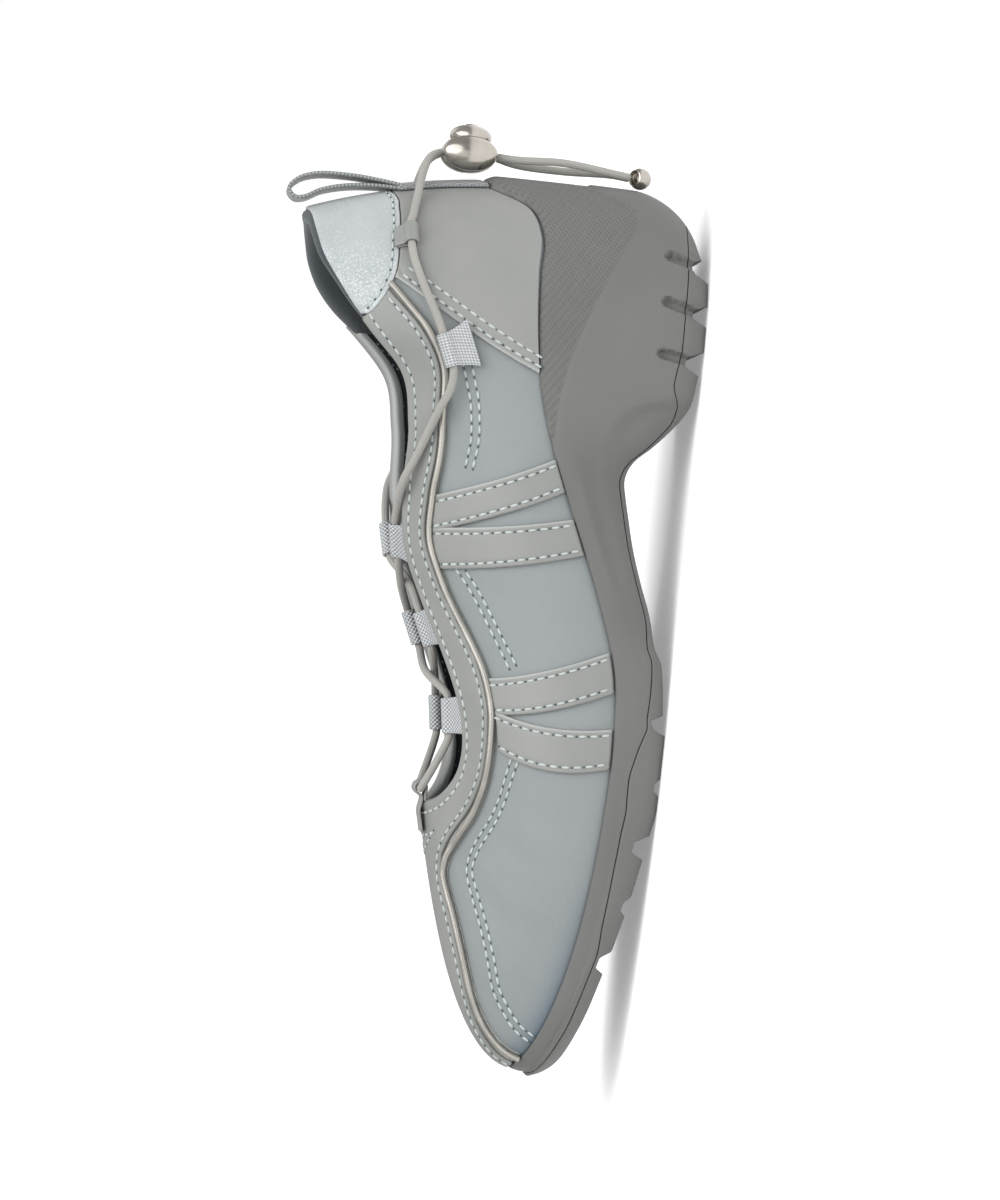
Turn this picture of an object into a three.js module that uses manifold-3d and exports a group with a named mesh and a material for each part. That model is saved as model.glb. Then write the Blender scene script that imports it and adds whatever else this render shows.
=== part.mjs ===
// Platform slip-on sneaker with an elastic lace, left shoe, standing empty on its sole.
// Millimetres. X runs from the heel to the toe, Y to the shoe's outer side, Z up.
// The tables hold shares of the named sizes; "at" goes round the shoe, 0 at the heel's
// centre and 1 at the toe's centre, and "up" goes from the sole's edge, 0, to the top line, 1.
import * as THREE from 'three';
import { mergeVertices } from 'three/addons/utils/BufferGeometryUtils.js';
import Module from 'manifold-3d';

const wasm = await Module();
wasm.setup();

// Sizes of the last and the sole
const LENGTH = 268;
const BALL_WIDTH = 84;
const HEEL_SEAT = 50;
const BALL_SEAT = 14.8;
const TOE_SEAT = 31;
const COLLAR_DEPTH = 70.4;
const INSTEP_DEPTH = 67.2;
const MEDIAL_LIFT = 2.6;
const HEEL_PEAK = 19;
const CUP_DEPTH = 4.8;
const ARCH_HEIGHT = 18.9;
const TOE_SPRING = 18;
const RIM_WIDTH = 2.4;
const HEEL_ROLL = 20;
const HEEL_INSET = 13;
const ORIGIN_ALONG = 46;

// Thicknesses and fits
const UPPER_WALL = 1.8;
const TURN_IN = 1;
const LEATHER = 1.1;
const SUEDE = 0.9;
const WEBBING = 0.8;
const HEEL_TAPE = 1.3;
const INSOLE = 4.2;
const INSOLE_DISH = 1.2;
const FIT = 0.35;

// Trim
const PIPING_RADIUS = 1.1;
const LACE_RADIUS = 1.2;
const LOOP_WIDTH = 10.5;
const SIDE_LOOP_WIDTH = 10;
const KEEPER_WIDTH = 7;
const TAPE_WIDTH = 16;
const TUNNEL_WIDTH = 13;
const LOCK_HEIGHT = 16.8;
const LOCK_WIDTH = 19.8;
const LOCK_DEPTH = 10.6;
const BUTTON_WIDTH = 12.6;
const BUTTON_DEPTH = 4.6;
const BUTTON_TRAVEL = 2.5;
const BEAD_DIAMETER = 6.6;

// Sole lugs and side slots
const NOTCH_HEIGHT = 5;
const SLOT_WIDTH = 2.6;
const SLOT_DEPTH = 2.6;

// How finely the curves are cut
const STATIONS = 52;
const STATION_CROWDING = 0.35;
const UP_ROWS = [0, 0.09, 0.2, 0.33, 0.47, 0.61, 0.75, 0.88, 1];
const TUBE_SIDES = 8;
const CURVE_TOLERANCE = 0.2;

// Sole edge in plan, with the peak that the sole makes at the back of the heel
const SOLE_LINE = [
  { at: 0.000, along: 0.0276, lateral: 0.000, medial: 0.000, peak: 1.00 },
  { at: 0.025, along: 0.0295, lateral: 0.067, medial: 0.067, peak: 0.95 },
  { at: 0.050, along: 0.0358, lateral: 0.119, medial: 0.119, peak: 0.68 },
  { at: 0.080, along: 0.0500, lateral: 0.186, medial: 0.186, peak: 0.21 },
  { at: 0.115, along: 0.0776, lateral: 0.255, medial: 0.255, peak: 0.00 },
  { at: 0.160, along: 0.1231, lateral: 0.338, medial: 0.340, peak: 0.00 },
  { at: 0.210, along: 0.1791, lateral: 0.388, medial: 0.393, peak: 0.00 },
  { at: 0.270, along: 0.2463, lateral: 0.426, medial: 0.429, peak: 0.00 },
  { at: 0.330, along: 0.3134, lateral: 0.448, medial: 0.445, peak: 0.00 },
  { at: 0.400, along: 0.3918, lateral: 0.460, medial: 0.440, peak: 0.00 },
  { at: 0.470, along: 0.4701, lateral: 0.474, medial: 0.431, peak: 0.00 },
  { at: 0.540, along: 0.5485, lateral: 0.505, medial: 0.431, peak: 0.00 },
  { at: 0.610, along: 0.6269, lateral: 0.531, medial: 0.440, peak: 0.00 },
  { at: 0.680, along: 0.7052, lateral: 0.531, medial: 0.448, peak: 0.00 },
  { at: 0.745, along: 0.7761, lateral: 0.500, medial: 0.443, peak: 0.00 },
  { at: 0.810, along: 0.8451, lateral: 0.445, medial: 0.419, peak: 0.00 },
  { at: 0.865, along: 0.9011, lateral: 0.388, medial: 0.381, peak: 0.00 },
  { at: 0.910, along: 0.9422, lateral: 0.329, medial: 0.329, peak: 0.00 },
  { at: 0.945, along: 0.9709, lateral: 0.257, medial: 0.257, peak: 0.00 },
  { at: 0.975, along: 0.9888, lateral: 0.152, medial: 0.152, peak: 0.00 },
  { at: 1.000, along: 0.9948, lateral: 0.000, medial: 0.000, peak: 0.00 },
];

// Height of the sole's edge along the shoe, between the ball's seat and the heel's or toe's
const SEAT_LINE = [
  { along: 0.000, heel: 1.000, toe: 0.000 },
  { along: 0.120, heel: 1.000, toe: 0.000 },
  { along: 0.179, heel: 0.977, toe: 0.000 },
  { along: 0.246, heel: 0.909, toe: 0.000 },
  { along: 0.313, heel: 0.753, toe: 0.000 },
  { along: 0.392, heel: 0.497, toe: 0.000 },
  { along: 0.470, heel: 0.244, toe: 0.000 },
  { along: 0.549, heel: 0.050, toe: 0.000 },
  { along: 0.627, heel: 0.000, toe: 0.000 },
  { along: 0.705, heel: 0.000, toe: 0.025 },
  { along: 0.776, heel: 0.000, toe: 0.099 },
  { along: 0.845, heel: 0.000, toe: 0.228 },
  { along: 0.901, heel: 0.000, toe: 0.407 },
  { along: 0.942, heel: 0.000, toe: 0.605 },
  { along: 0.971, heel: 0.000, toe: 0.802 },
  { along: 0.995, heel: 0.000, toe: 1.000 },
];

// Top line of the collar and throat; lift raises its inner side
const TOP_LINE = [
  { at: 0.000, along: 0.0731, lateral: 0.000, medial: 0.000, back: 1.000, front: 0.000, lift: 0.00 },
  { at: 0.045, along: 0.0799, lateral: 0.100, medial: 0.100, back: 0.987, front: 0.000, lift: 0.31 },
  { at: 0.090, along: 0.0985, lateral: 0.179, medial: 0.183, back: 0.972, front: 0.000, lift: 0.54 },
  { at: 0.135, along: 0.1269, lateral: 0.238, medial: 0.248, back: 0.944, front: 0.000, lift: 1.00 },
  { at: 0.170, along: 0.1530, lateral: 0.271, medial: 0.286, back: 0.902, front: 0.000, lift: 1.54 },
  { at: 0.200, along: 0.1772, lateral: 0.295, medial: 0.314, back: 0.859, front: 0.000, lift: 1.38 },
  { at: 0.225, along: 0.2015, lateral: 0.312, medial: 0.333, back: 0.809, front: 0.000, lift: 0.77 },
  { at: 0.260, along: 0.2369, lateral: 0.310, medial: 0.333, back: 0.250, front: 0.705, lift: 0.96 },
  { at: 0.320, along: 0.2985, lateral: 0.283, medial: 0.312, back: 0.000, front: 1.010, lift: 1.08 },
  { at: 0.390, along: 0.3694, lateral: 0.226, medial: 0.264, back: 0.000, front: 1.000, lift: 0.81 },
  { at: 0.450, along: 0.4310, lateral: 0.188, medial: 0.226, back: 0.000, front: 0.973, lift: 0.69 },
  { at: 0.510, along: 0.4888, lateral: 0.190, medial: 0.219, back: 0.000, front: 0.890, lift: 0.92 },
  { at: 0.570, along: 0.5466, lateral: 0.229, medial: 0.257, back: 0.000, front: 0.791, lift: 1.19 },
  { at: 0.625, along: 0.5951, lateral: 0.271, medial: 0.312, back: 0.000, front: 0.722, lift: 1.15 },
  { at: 0.690, along: 0.6362, lateral: 0.274, medial: 0.324, back: 0.000, front: 0.688, lift: 1.00 },
  { at: 0.760, along: 0.6698, lateral: 0.243, medial: 0.293, back: 0.000, front: 0.688, lift: 0.92 },
  { at: 0.830, along: 0.6940, lateral: 0.195, medial: 0.233, back: 0.000, front: 0.715, lift: 0.77 },
  { at: 0.895, along: 0.7097, lateral: 0.131, medial: 0.157, back: 0.000, front: 0.754, lift: 0.54 },
  { at: 0.950, along: 0.7157, lateral: 0.064, medial: 0.076, back: 0.000, front: 0.785, lift: 0.23 },
  { at: 1.000, along: 0.7164, lateral: 0.000, medial: 0.000, back: 0.000, front: 0.800, lift: 0.00 },
];

// The wall's bulge: lean out of the sole and lean in at the top, in degrees from upright,
// and how far each lean carries, as a share of the way from the sole to the top
const WALL_SHAPE = [
  { at: 0.00, lateral: -6, medial: -6, low: 0.36, lean: 21.0, high: 0.35 },
  { at: 0.06, lateral: -3, medial: -3, low: 0.36, lean: 22.0, high: 0.35 },
  { at: 0.12, lateral: 5, medial: 5, low: 0.36, lean: 24.0, high: 0.35 },
  { at: 0.20, lateral: 13, medial: 13, low: 0.36, lean: 27.0, high: 0.35 },
  { at: 0.30, lateral: 20, medial: 20, low: 0.36, lean: 36.0, high: 0.35 },
  { at: 0.42, lateral: 22, medial: 22, low: 0.40, lean: 46.0, high: 0.36 },
  { at: 0.52, lateral: 20, medial: 18, low: 0.40, lean: 50.0, high: 0.38 },
  { at: 0.62, lateral: 19, medial: 15, low: 0.42, lean: 55.0, high: 0.40 },
  { at: 0.70, lateral: 17, medial: 13, low: 0.42, lean: 59.0, high: 0.41 },
  { at: 0.80, lateral: 15, medial: 12, low: 0.38, lean: 65.5, high: 0.42 },
  { at: 0.88, lateral: 9, medial: 7, low: 0.32, lean: 71.5, high: 0.44 },
  { at: 0.94, lateral: 0, medial: 0, low: 0.24, lean: 75.0, high: 0.46 },
  { at: 1.00, lateral: -8, medial: -8, low: 0.18, lean: 77.0, high: 0.47 },
];

// The sole's side: how far its lip, rim and flank stand out, in rim widths, the roll under its
// lower edge, in shares of the heel's roll and inset, and the step below its sunk heel panel:
// the share of the flank's height that it stands at, and its depth in rim widths
const SOLE_WALL = [
  { at: 0.000, lip: 1.35, rim: 2.15, flank: 2.20, roll: 1.00, inset: 1.00, panel: 0.54, step: 0.20 },
  { at: 0.025, lip: 1.25, rim: 2.05, flank: 2.10, roll: 0.98, inset: 0.99, panel: 0.34, step: 0.20 },
  { at: 0.050, lip: 1.05, rim: 1.80, flank: 1.85, roll: 0.90, inset: 0.95, panel: 0.14, step: 0.20 },
  { at: 0.080, lip: 0.90, rim: 1.50, flank: 1.50, roll: 0.75, inset: 0.84, panel: 0.17, step: 0.20 },
  { at: 0.115, lip: 0.75, rim: 1.25, flank: 1.25, roll: 0.55, inset: 0.60, panel: 0.38, step: 0.20 },
  { at: 0.160, lip: 0.68, rim: 1.08, flank: 1.05, roll: 0.36, inset: 0.32, panel: 0.60, step: 0.20 },
  { at: 0.210, lip: 0.64, rim: 1.00, flank: 0.90, roll: 0.30, inset: 0.20, panel: 0.78, step: 0.18 },
  { at: 0.270, lip: 0.62, rim: 0.95, flank: 0.60, roll: 0.40, inset: 0.28, panel: 0.90, step: 0.12 },
  { at: 0.330, lip: 0.60, rim: 0.90, flank: -0.30, roll: 0.45, inset: 0.55, panel: 0.80, step: 0.00 },
  { at: 0.400, lip: 0.60, rim: 0.85, flank: -0.30, roll: 0.42, inset: 0.55, panel: 0.55, step: 0.00 },
  { at: 0.470, lip: 0.60, rim: 0.85, flank: 0.40, roll: 0.30, inset: 0.34, panel: 0.50, step: 0.00 },
  { at: 0.540, lip: 0.60, rim: 0.90, flank: 0.90, roll: 0.22, inset: 0.18, panel: 0.50, step: 0.00 },
  { at: 0.610, lip: 0.60, rim: 0.90, flank: 0.95, roll: 0.20, inset: 0.14, panel: 0.50, step: 0.00 },
  { at: 0.740, lip: 0.60, rim: 0.90, flank: 1.00, roll: 0.22, inset: 0.16, panel: 0.50, step: 0.00 },
  { at: 0.810, lip: 0.62, rim: 0.95, flank: 1.05, roll: 0.26, inset: 0.22, panel: 0.50, step: 0.00 },
  { at: 0.910, lip: 0.62, rim: 0.95, flank: 1.15, roll: 0.38, inset: 0.38, panel: 0.50, step: 0.00 },
  { at: 0.960, lip: 0.60, rim: 0.90, flank: 1.15, roll: 0.46, inset: 0.54, panel: 0.50, step: 0.00 },
  { at: 1.000, lip: 0.55, rim: 0.85, flank: 1.15, roll: 0.50, inset: 0.62, panel: 0.50, step: 0.00 },
];

// Ground line of the sole: the arch behind the ball and the spring of the toe
const BOTTOM_LINE = [
  { along: -0.020, arch: 0.100, spring: 0.00 },
  { along: 0.078, arch: 0.095, spring: 0.00 },
  { along: 0.100, arch: 0.000, spring: 0.00 },
  { along: 0.187, arch: 0.000, spring: 0.00 },
  { along: 0.213, arch: 0.053, spring: 0.00 },
  { along: 0.246, arch: 0.116, spring: 0.00 },
  { along: 0.261, arch: 0.222, spring: 0.00 },
  { along: 0.280, arch: 0.423, spring: 0.00 },
  { along: 0.299, arch: 0.667, spring: 0.00 },
  { along: 0.313, arch: 0.873, spring: 0.00 },
  { along: 0.325, arch: 0.968, spring: 0.00 },
  { along: 0.336, arch: 1.000, spring: 0.00 },
  { along: 0.355, arch: 0.952, spring: 0.00 },
  { along: 0.373, arch: 0.889, spring: 0.00 },
  { along: 0.410, arch: 0.757, spring: 0.00 },
  { along: 0.448, arch: 0.582, spring: 0.00 },
  { along: 0.485, arch: 0.397, spring: 0.00 },
  { along: 0.516, arch: 0.286, spring: 0.00 },
  { along: 0.532, arch: 0.165, spring: 0.00 },
  { along: 0.560, arch: 0.100, spring: 0.00 },
  { along: 0.594, arch: 0.050, spring: 0.00 },
  { along: 0.606, arch: 0.000, spring: 0.00 },
  { along: 0.690, arch: 0.000, spring: 0.00 },
  { along: 0.720, arch: 0.000, spring: 0.07 },
  { along: 0.746, arch: 0.000, spring: 0.13 },
  { along: 0.787, arch: 0.000, spring: 0.23 },
  { along: 0.851, arch: 0.000, spring: 0.42 },
  { along: 0.877, arch: 0.000, spring: 0.51 },
  { along: 0.933, arch: 0.000, spring: 0.71 },
  { along: 0.970, arch: 0.000, spring: 0.89 },
  { along: 0.985, arch: 0.000, spring: 1.00 },
  { along: 1.020, arch: 0.000, spring: 1.35 },
];

// Thickness of the outsole along the shoe, in notch heights
const OUTSOLE_LINE = [
  { along: -0.020, thick: 1.05 },
  { along: 0.078, thick: 1.05 },
  { along: 0.100, thick: 1.35 },
  { along: 0.225, thick: 1.35 },
  { along: 0.252, thick: 0.70 },
  { along: 0.270, thick: 0.42 },
  { along: 0.325, thick: 0.30 },
  { along: 0.480, thick: 0.30 },
  { along: 0.535, thick: 0.62 },
  { along: 0.594, thick: 1.00 },
  { along: 0.630, thick: 1.55 },
  { along: 0.664, thick: 1.88 },
  { along: 0.746, thick: 1.60 },
  { along: 0.820, thick: 1.18 },
  { along: 0.860, thick: 0.86 },
  { along: 0.933, thick: 0.90 },
  { along: 0.970, thick: 1.05 },
  { along: 1.020, thick: 1.30 },
];

// Notches between the lugs: where they start and end along the shoe, and their height
const NOTCHES = [
  { start: 0.081, end: 0.107, tall: 1.00, slot: 0.0832 },
  { start: 0.135, end: 0.157, tall: 0.90, slot: 0.1355 },
  { start: 0.187, end: 0.212, tall: 1.00, slot: 0.1930 },
  { start: 0.588, end: 0.609, tall: 0.80, slot: 0 },
  { start: 0.657, end: 0.675, tall: 0.36, slot: 0 },
  { start: 0.720, end: 0.746, tall: 0.84, slot: 0 },
  { start: 0.789, end: 0.810, tall: 0.40, slot: 0 },
  { start: 0.851, end: 0.877, tall: 0.66, slot: 0 },
];
const SLOT_TOP = 12.5;

// Lower edge of the leather round the collar and throat, down the wall from its piping
const EYESTAY_EDGE = [
  { at: 0.190, lateral: 0.735, medial: 0.735 },
  { at: 0.206, lateral: 0.695, medial: 0.695 },
  { at: 0.223, lateral: 0.658, medial: 0.658 },
  { at: 0.239, lateral: 0.650, medial: 0.650 },
  { at: 0.255, lateral: 0.665, medial: 0.665 },
  { at: 0.289, lateral: 0.720, medial: 0.715 },
  { at: 0.322, lateral: 0.750, medial: 0.745 },
  { at: 0.357, lateral: 0.770, medial: 0.765 },
  { at: 0.392, lateral: 0.803, medial: 0.780 },
  { at: 0.434, lateral: 0.828, medial: 0.790 },
  { at: 0.465, lateral: 0.812, medial: 0.784 },
  { at: 0.497, lateral: 0.795, medial: 0.768 },
  { at: 0.530, lateral: 0.752, medial: 0.736 },
  { at: 0.563, lateral: 0.712, medial: 0.695 },
  { at: 0.598, lateral: 0.704, medial: 0.682 },
  { at: 0.639, lateral: 0.734, medial: 0.690 },
  { at: 0.689, lateral: 0.764, medial: 0.745 },
  { at: 0.752, lateral: 0.800, medial: 0.800 },
  { at: 0.789, lateral: 0.815, medial: 0.826 },
  { at: 0.833, lateral: 0.828, medial: 0.834 },
  { at: 0.875, lateral: 0.830, medial: 0.830 },
  { at: 0.905, lateral: 0.812, medial: 0.812 },
];

// Edge of the strip that the same leather sends down the toe
const TOE_STRIP = [
  { up: 1.000, at: 0.917 },
  { up: 0.880, at: 0.917 },
  { up: 0.780, at: 0.921 },
  { up: 0.730, at: 0.920 },
  { up: 0.660, at: 0.917 },
  { up: 0.580, at: 0.919 },
  { up: 0.500, at: 0.925 },
  { up: 0.400, at: 0.937 },
  { up: 0.300, at: 0.946 },
  { up: 0.180, at: 0.952 },
  { up: 0.100, at: 0.955 },
  { up: 0.020, at: 0.957 },
];

// Front edge of the heel counter and lower edge of the collar patch
const COUNTER_FRONT = [
  { up: 0.000, at: 0.258 },
  { up: 0.231, at: 0.242 },
  { up: 0.393, at: 0.226 },
  { up: 0.520, at: 0.209 },
  { up: 0.637, at: 0.191 },
  { up: 0.760, at: 0.168 },
];
const PATCH_EDGE = [
  { at: 0.000, up: 0.500 },
  { at: 0.052, up: 0.554 },
  { at: 0.080, up: 0.610 },
  { at: 0.122, up: 0.648 },
  { at: 0.154, up: 0.683 },
  { at: 0.171, up: 0.723 },
  { at: 0.193, up: 0.818 },
  { at: 0.207, up: 0.924 },
];

// Side bands, two to a V: both ends at the sole and both at the piping
const SIDE_BANDS = [
  { name: 'rear', low: [0.339, 0.370], high: [0.390, 0.428], lowNext: [0.395, 0.429], highNext: [0.424, 0.466] },
  { name: 'front', low: [0.520, 0.559], high: [0.571, 0.608], lowNext: [0.593, 0.632], highNext: [0.604, 0.650] },
];

// The lace's run over each side, its middle held out from the wall in lace radii; a held row passes
// straight through a fitting of the named width, its slope given as up over at
const LACE_RUN = [
  { at: 0.084, up: 0.535, out: 2.67, hold: '', slope: 0.62 },
  { at: 0.106, up: 0.572, out: 2.75, hold: '', slope: 0.62 },
  { at: 0.132, up: 0.600, out: 2.83, hold: 'keeper', slope: 0.45 },
  { at: 0.160, up: 0.607, out: 2.75, hold: '', slope: 0.0 },
  { at: 0.192, up: 0.587, out: 2.67, hold: '', slope: 0.0 },
  { at: 0.213, up: 0.571, out: 3.00, hold: '', slope: 0.0 },
  { at: 0.243, up: 0.577, out: 3.50, hold: 'side_loop', slope: 0.55 },
  { at: 0.279, up: 0.640, out: 3.08, hold: '', slope: 0.0 },
  { at: 0.300, up: 0.722, out: 3.92, hold: '', slope: 0.0 },
  { at: 0.322, up: 0.815, out: 3.00, hold: '', slope: 0.0 },
  { at: 0.355, up: 0.910, out: 2.83, hold: '', slope: 0.0 },
  { at: 0.380, up: 0.962, out: 3.67, hold: '', slope: 0.0 },
];

// Where the lace passes the throat's loops and crosses, side 1 outer and -1 inner; up is a share
// of the instep's height over the ground
const LACE_THROAT = [
  { name: 'rear_lateral', along: 0.427, side: 1, across: 0.125, up: 1.012, at: 0.447, turn: -24, fall: 0.2 },
  { name: '', along: 0.474, side: -1, across: 0.006, up: 0.974, at: 0, turn: 0, fall: 0 },
  { name: 'middle_medial', along: 0.522, side: -1, across: 0.155, up: 0.902, at: 0.546, turn: 0, fall: 0.45 },
  { name: '', along: 0.568, side: -1, across: 0.006, up: 0.849, at: 0, turn: 0, fall: 0 },
  { name: 'front_lateral', along: 0.615, side: 1, across: 0.185, up: 0.756, at: 0.656, turn: 2, fall: 0.15 },
  { name: 'tunnel', along: 0.699, side: 1, across: 0.000, up: 0.820, at: 0, turn: -90, fall: 0 },
  { name: 'front_medial', along: 0.615, side: -1, across: 0.238, up: 0.778, at: 0.656, turn: 178, fall: -0.15 },
  { name: '', along: 0.568, side: 1, across: 0.006, up: 0.815, at: 0, turn: 0, fall: 0 },
  { name: 'middle_lateral', along: 0.522, side: 1, across: 0.130, up: 0.874, at: 0.546, turn: 180, fall: -0.45 },
  { name: '', along: 0.474, side: 1, across: 0.006, up: 0.940, at: 0, turn: 0, fall: 0 },
  { name: 'rear_medial', along: 0.427, side: -1, across: 0.140, up: 1.032, at: 0.447, turn: -156, fall: -0.2 },
];

const LEATHER_LOOK = { color: 0x9a9d98, roughness: 0.6, metalness: 0 };
const FABRIC_LOOK = { color: 0x9ba3a8, roughness: 0.9, metalness: 0 };
const SUEDE_LOOK = { color: 0xc4cacd, roughness: 0.8, metalness: 0 };
const RUBBER_LOOK = { color: 0x85827f, roughness: 0.75, metalness: 0 };
const FOAM_LOOK = { color: 0x878482, roughness: 0.8, metalness: 0 };
const CORD_LOOK = { color: 0xb0aea8, roughness: 0.8, metalness: 0 };
const WEBBING_LOOK = { color: 0xb4b6b8, roughness: 0.7, metalness: 0 };
const PIPING_LOOK = { color: 0xb9b3a6, roughness: 0.35, metalness: 0.6 };
const METAL_LOOK = { color: 0xa39e96, roughness: 0.25, metalness: 1 };
const INSOLE_LOOK = { color: 0x8a9191, roughness: 0.5, metalness: 0 };

// A smooth curve through uneven knots that closes on itself after one period
function throughKnots(knots, values, period, at) {
  const count = knots.length;
  const place = ((at % period) + period) % period;
  let span = 0;
  while (span < count - 1 && knots[span + 1] <= place) {
    span += 1;
  }
  const knot = (index) => knots[(index + count) % count] + Math.floor(index / count) * period;
  const value = (index) => values[(index + count) % count];
  const slope = (index) => {
    const before = knot(index) - knot(index - 1);
    const after = knot(index + 1) - knot(index);
    const rise = ((value(index) - value(index - 1)) / before) * after;
    return (rise + ((value(index + 1) - value(index)) / after) * before) / (before + after);
  };
  const width = knot(span + 1) - knot(span);
  const t = (place - knot(span)) / width;
  const s = 1 - t;
  const ends = value(span) * (1 + 2 * t) * s * s + value(span + 1) * t * t * (3 - 2 * t);
  return ends + slope(span) * width * t * s * s - slope(span + 1) * width * t * t * s;
}

// A table's column as a closed curve: out along the lateral rows and back by the medial ones
function aroundShoe(rows, lateral, medial) {
  const back = rows.slice(1, -1).reverse();
  const knots = [...rows.map((row) => row.at), ...back.map((row) => 2 - row.at)];
  const values = [...rows.map(lateral), ...back.map(medial)];
  return (at) => throughKnots(knots, values, 2, at);
}

// A table's column by straight spans
function between(rows, key, column, where) {
  const last = rows.length - 1;
  const falling = rows[0][key] > rows[last][key];
  let span = 0;
  while (span < last - 1 && (falling ? where < rows[span + 1][key] : where > rows[span + 1][key])) {
    span += 1;
  }
  const [a, b] = [rows[span], rows[span + 1]];
  const share = THREE.MathUtils.clamp((where - a[key]) / (b[key] - a[key]), 0, 1);
  return a[column] + (b[column] - a[column]) * share;
}

function seatHeight(x) {
  const heel = between(SEAT_LINE, 'along', 'heel', x / LENGTH);
  const toe = between(SEAT_LINE, 'along', 'toe', x / LENGTH);
  return BALL_SEAT + heel * (HEEL_SEAT - BALL_SEAT) + toe * (TOE_SEAT - BALL_SEAT);
}

function shelfHeight(x) {
  return seatHeight(x) - CUP_DEPTH;
}

function groundHeight(x) {
  const arch = between(BOTTOM_LINE, 'along', 'arch', x / LENGTH);
  const spring = between(BOTTOM_LINE, 'along', 'spring', x / LENGTH);
  return arch * ARCH_HEIGHT + spring * TOE_SPRING;
}

function topHeight(row) {
  return row.back * (HEEL_SEAT + COLLAR_DEPTH) + row.front * (BALL_SEAT + INSTEP_DEPTH);
}

const along = (row) => row.along * LENGTH;
const outward = (row) => row.lateral * BALL_WIDTH;
const inward = (row) => -row.medial * BALL_WIDTH;
const footHeight = (row) => seatHeight(row.along * LENGTH) + row.peak * HEEL_PEAK;

const footX = aroundShoe(SOLE_LINE, along, along);
const footY = aroundShoe(SOLE_LINE, outward, inward);
const footZ = aroundShoe(SOLE_LINE, footHeight, footHeight);
const topX = aroundShoe(TOP_LINE, along, along);
const topY = aroundShoe(TOP_LINE, outward, inward);
const topZ = aroundShoe(TOP_LINE, topHeight, (row) => topHeight(row) + row.lift * MEDIAL_LIFT);
const leanOut = aroundShoe(WALL_SHAPE, (row) => row.lateral, (row) => row.medial);
const leanIn = aroundShoe(WALL_SHAPE, (row) => row.lean, (row) => row.lean);
const lowPull = aroundShoe(WALL_SHAPE, (row) => row.low, (row) => row.low);
const highPull = aroundShoe(WALL_SHAPE, (row) => row.high, (row) => row.high);

const footPoint = (at) => new THREE.Vector3(footX(at), footY(at), footZ(at));
const topPoint = (at) => new THREE.Vector3(topX(at), topY(at), topZ(at));

// The plan's outward direction at the sole's edge
function planNormal(at) {
  const step = 0.004;
  const dx = footX(at + step) - footX(at - step);
  const dy = footY(at + step) - footY(at - step);
  return new THREE.Vector3(-dy, dx, 0).normalize();
}

// A point of the last's outer wall; below the sole's edge it goes down into the sole's cup
function wallPoint(at, up) {
  const foot = footPoint(at);
  if (up < 0) {
    const depth = foot.z - shelfHeight(foot.x) - FIT;
    foot.z += up * depth;
    return foot.addScaledVector(planNormal(at), up * TURN_IN);
  }
  const top = topPoint(at);
  const reach = foot.distanceTo(top);
  const toTop = new THREE.Vector3(top.x - foot.x, top.y - foot.y, 0).normalize();
  const low = THREE.MathUtils.degToRad(leanOut(at));
  const high = THREE.MathUtils.degToRad(leanIn(at));
  const p1 = foot.clone().addScaledVector(toTop, -Math.sin(low) * reach * lowPull(at));
  p1.z += Math.cos(low) * reach * lowPull(at);
  const p2 = top.clone().addScaledVector(toTop, -Math.sin(high) * reach * highPull(at));
  p2.z -= Math.cos(high) * reach * highPull(at);
  const t = up;
  const s = 1 - t;
  return foot.multiplyScalar(s * s * s)
    .addScaledVector(p1, 3 * s * s * t)
    .addScaledVector(p2, 3 * s * t * t)
    .addScaledVector(top, t * t * t);
}

function wallNormal(at, up) {
  if (up < 0) {
    return planNormal(at);
  }
  const step = 0.004;
  const level = Math.max(up, step);
  const round = wallPoint(at + step, level).sub(wallPoint(at - step, level));
  const rise = wallPoint(at, level + step).sub(wallPoint(at, level - step));
  const normal = rise.cross(round).normalize();
  return up === 0 ? normal.add(planNormal(at)).normalize() : normal;
}

function offWall(at, up, out) {
  return wallPoint(at, up).addScaledVector(wallNormal(at, up), out);
}

// Places round the shoe, closer together round the heel and the toe
const ROUND = [];
for (let i = 0; i < STATIONS; i += 1) {
  const t = (2 * i) / STATIONS;
  ROUND.push(t - (STATION_CROWDING * Math.sin(2 * Math.PI * t)) / (2 * Math.PI));
}

// A manifold solid from points and triangles, with repeated corners joined
function solidFrom(points, faces) {
  const geometry = new THREE.BufferGeometry().setFromPoints(points);
  geometry.setIndex(faces.flat());
  return solidOf(geometry);
}

function solidOf(geometry) {
  geometry.deleteAttribute('normal');
  geometry.deleteAttribute('uv');
  const joined = mergeVertices(geometry, 1e-4);
  const index = joined.index.array;
  const kept = [];
  for (let i = 0; i < index.length; i += 3) {
    const [a, b, c] = [index[i], index[i + 1], index[i + 2]];
    if (a !== b && b !== c && a !== c) {
      kept.push(a, b, c);
    }
  }
  const vertProperties = new Float32Array(joined.attributes.position.array);
  let solid = new wasm.Manifold(new wasm.Mesh({ numProp: 3, vertProperties, triVerts: new Uint32Array(kept) }));
  if (solid.volume() < 0) {
    for (let i = 0; i < kept.length; i += 3) {
      [kept[i + 1], kept[i + 2]] = [kept[i + 2], kept[i + 1]];
    }
    solid = new wasm.Manifold(new wasm.Mesh({ numProp: 3, vertProperties, triVerts: new Uint32Array(kept) }));
  }
  return solid;
}

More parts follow.
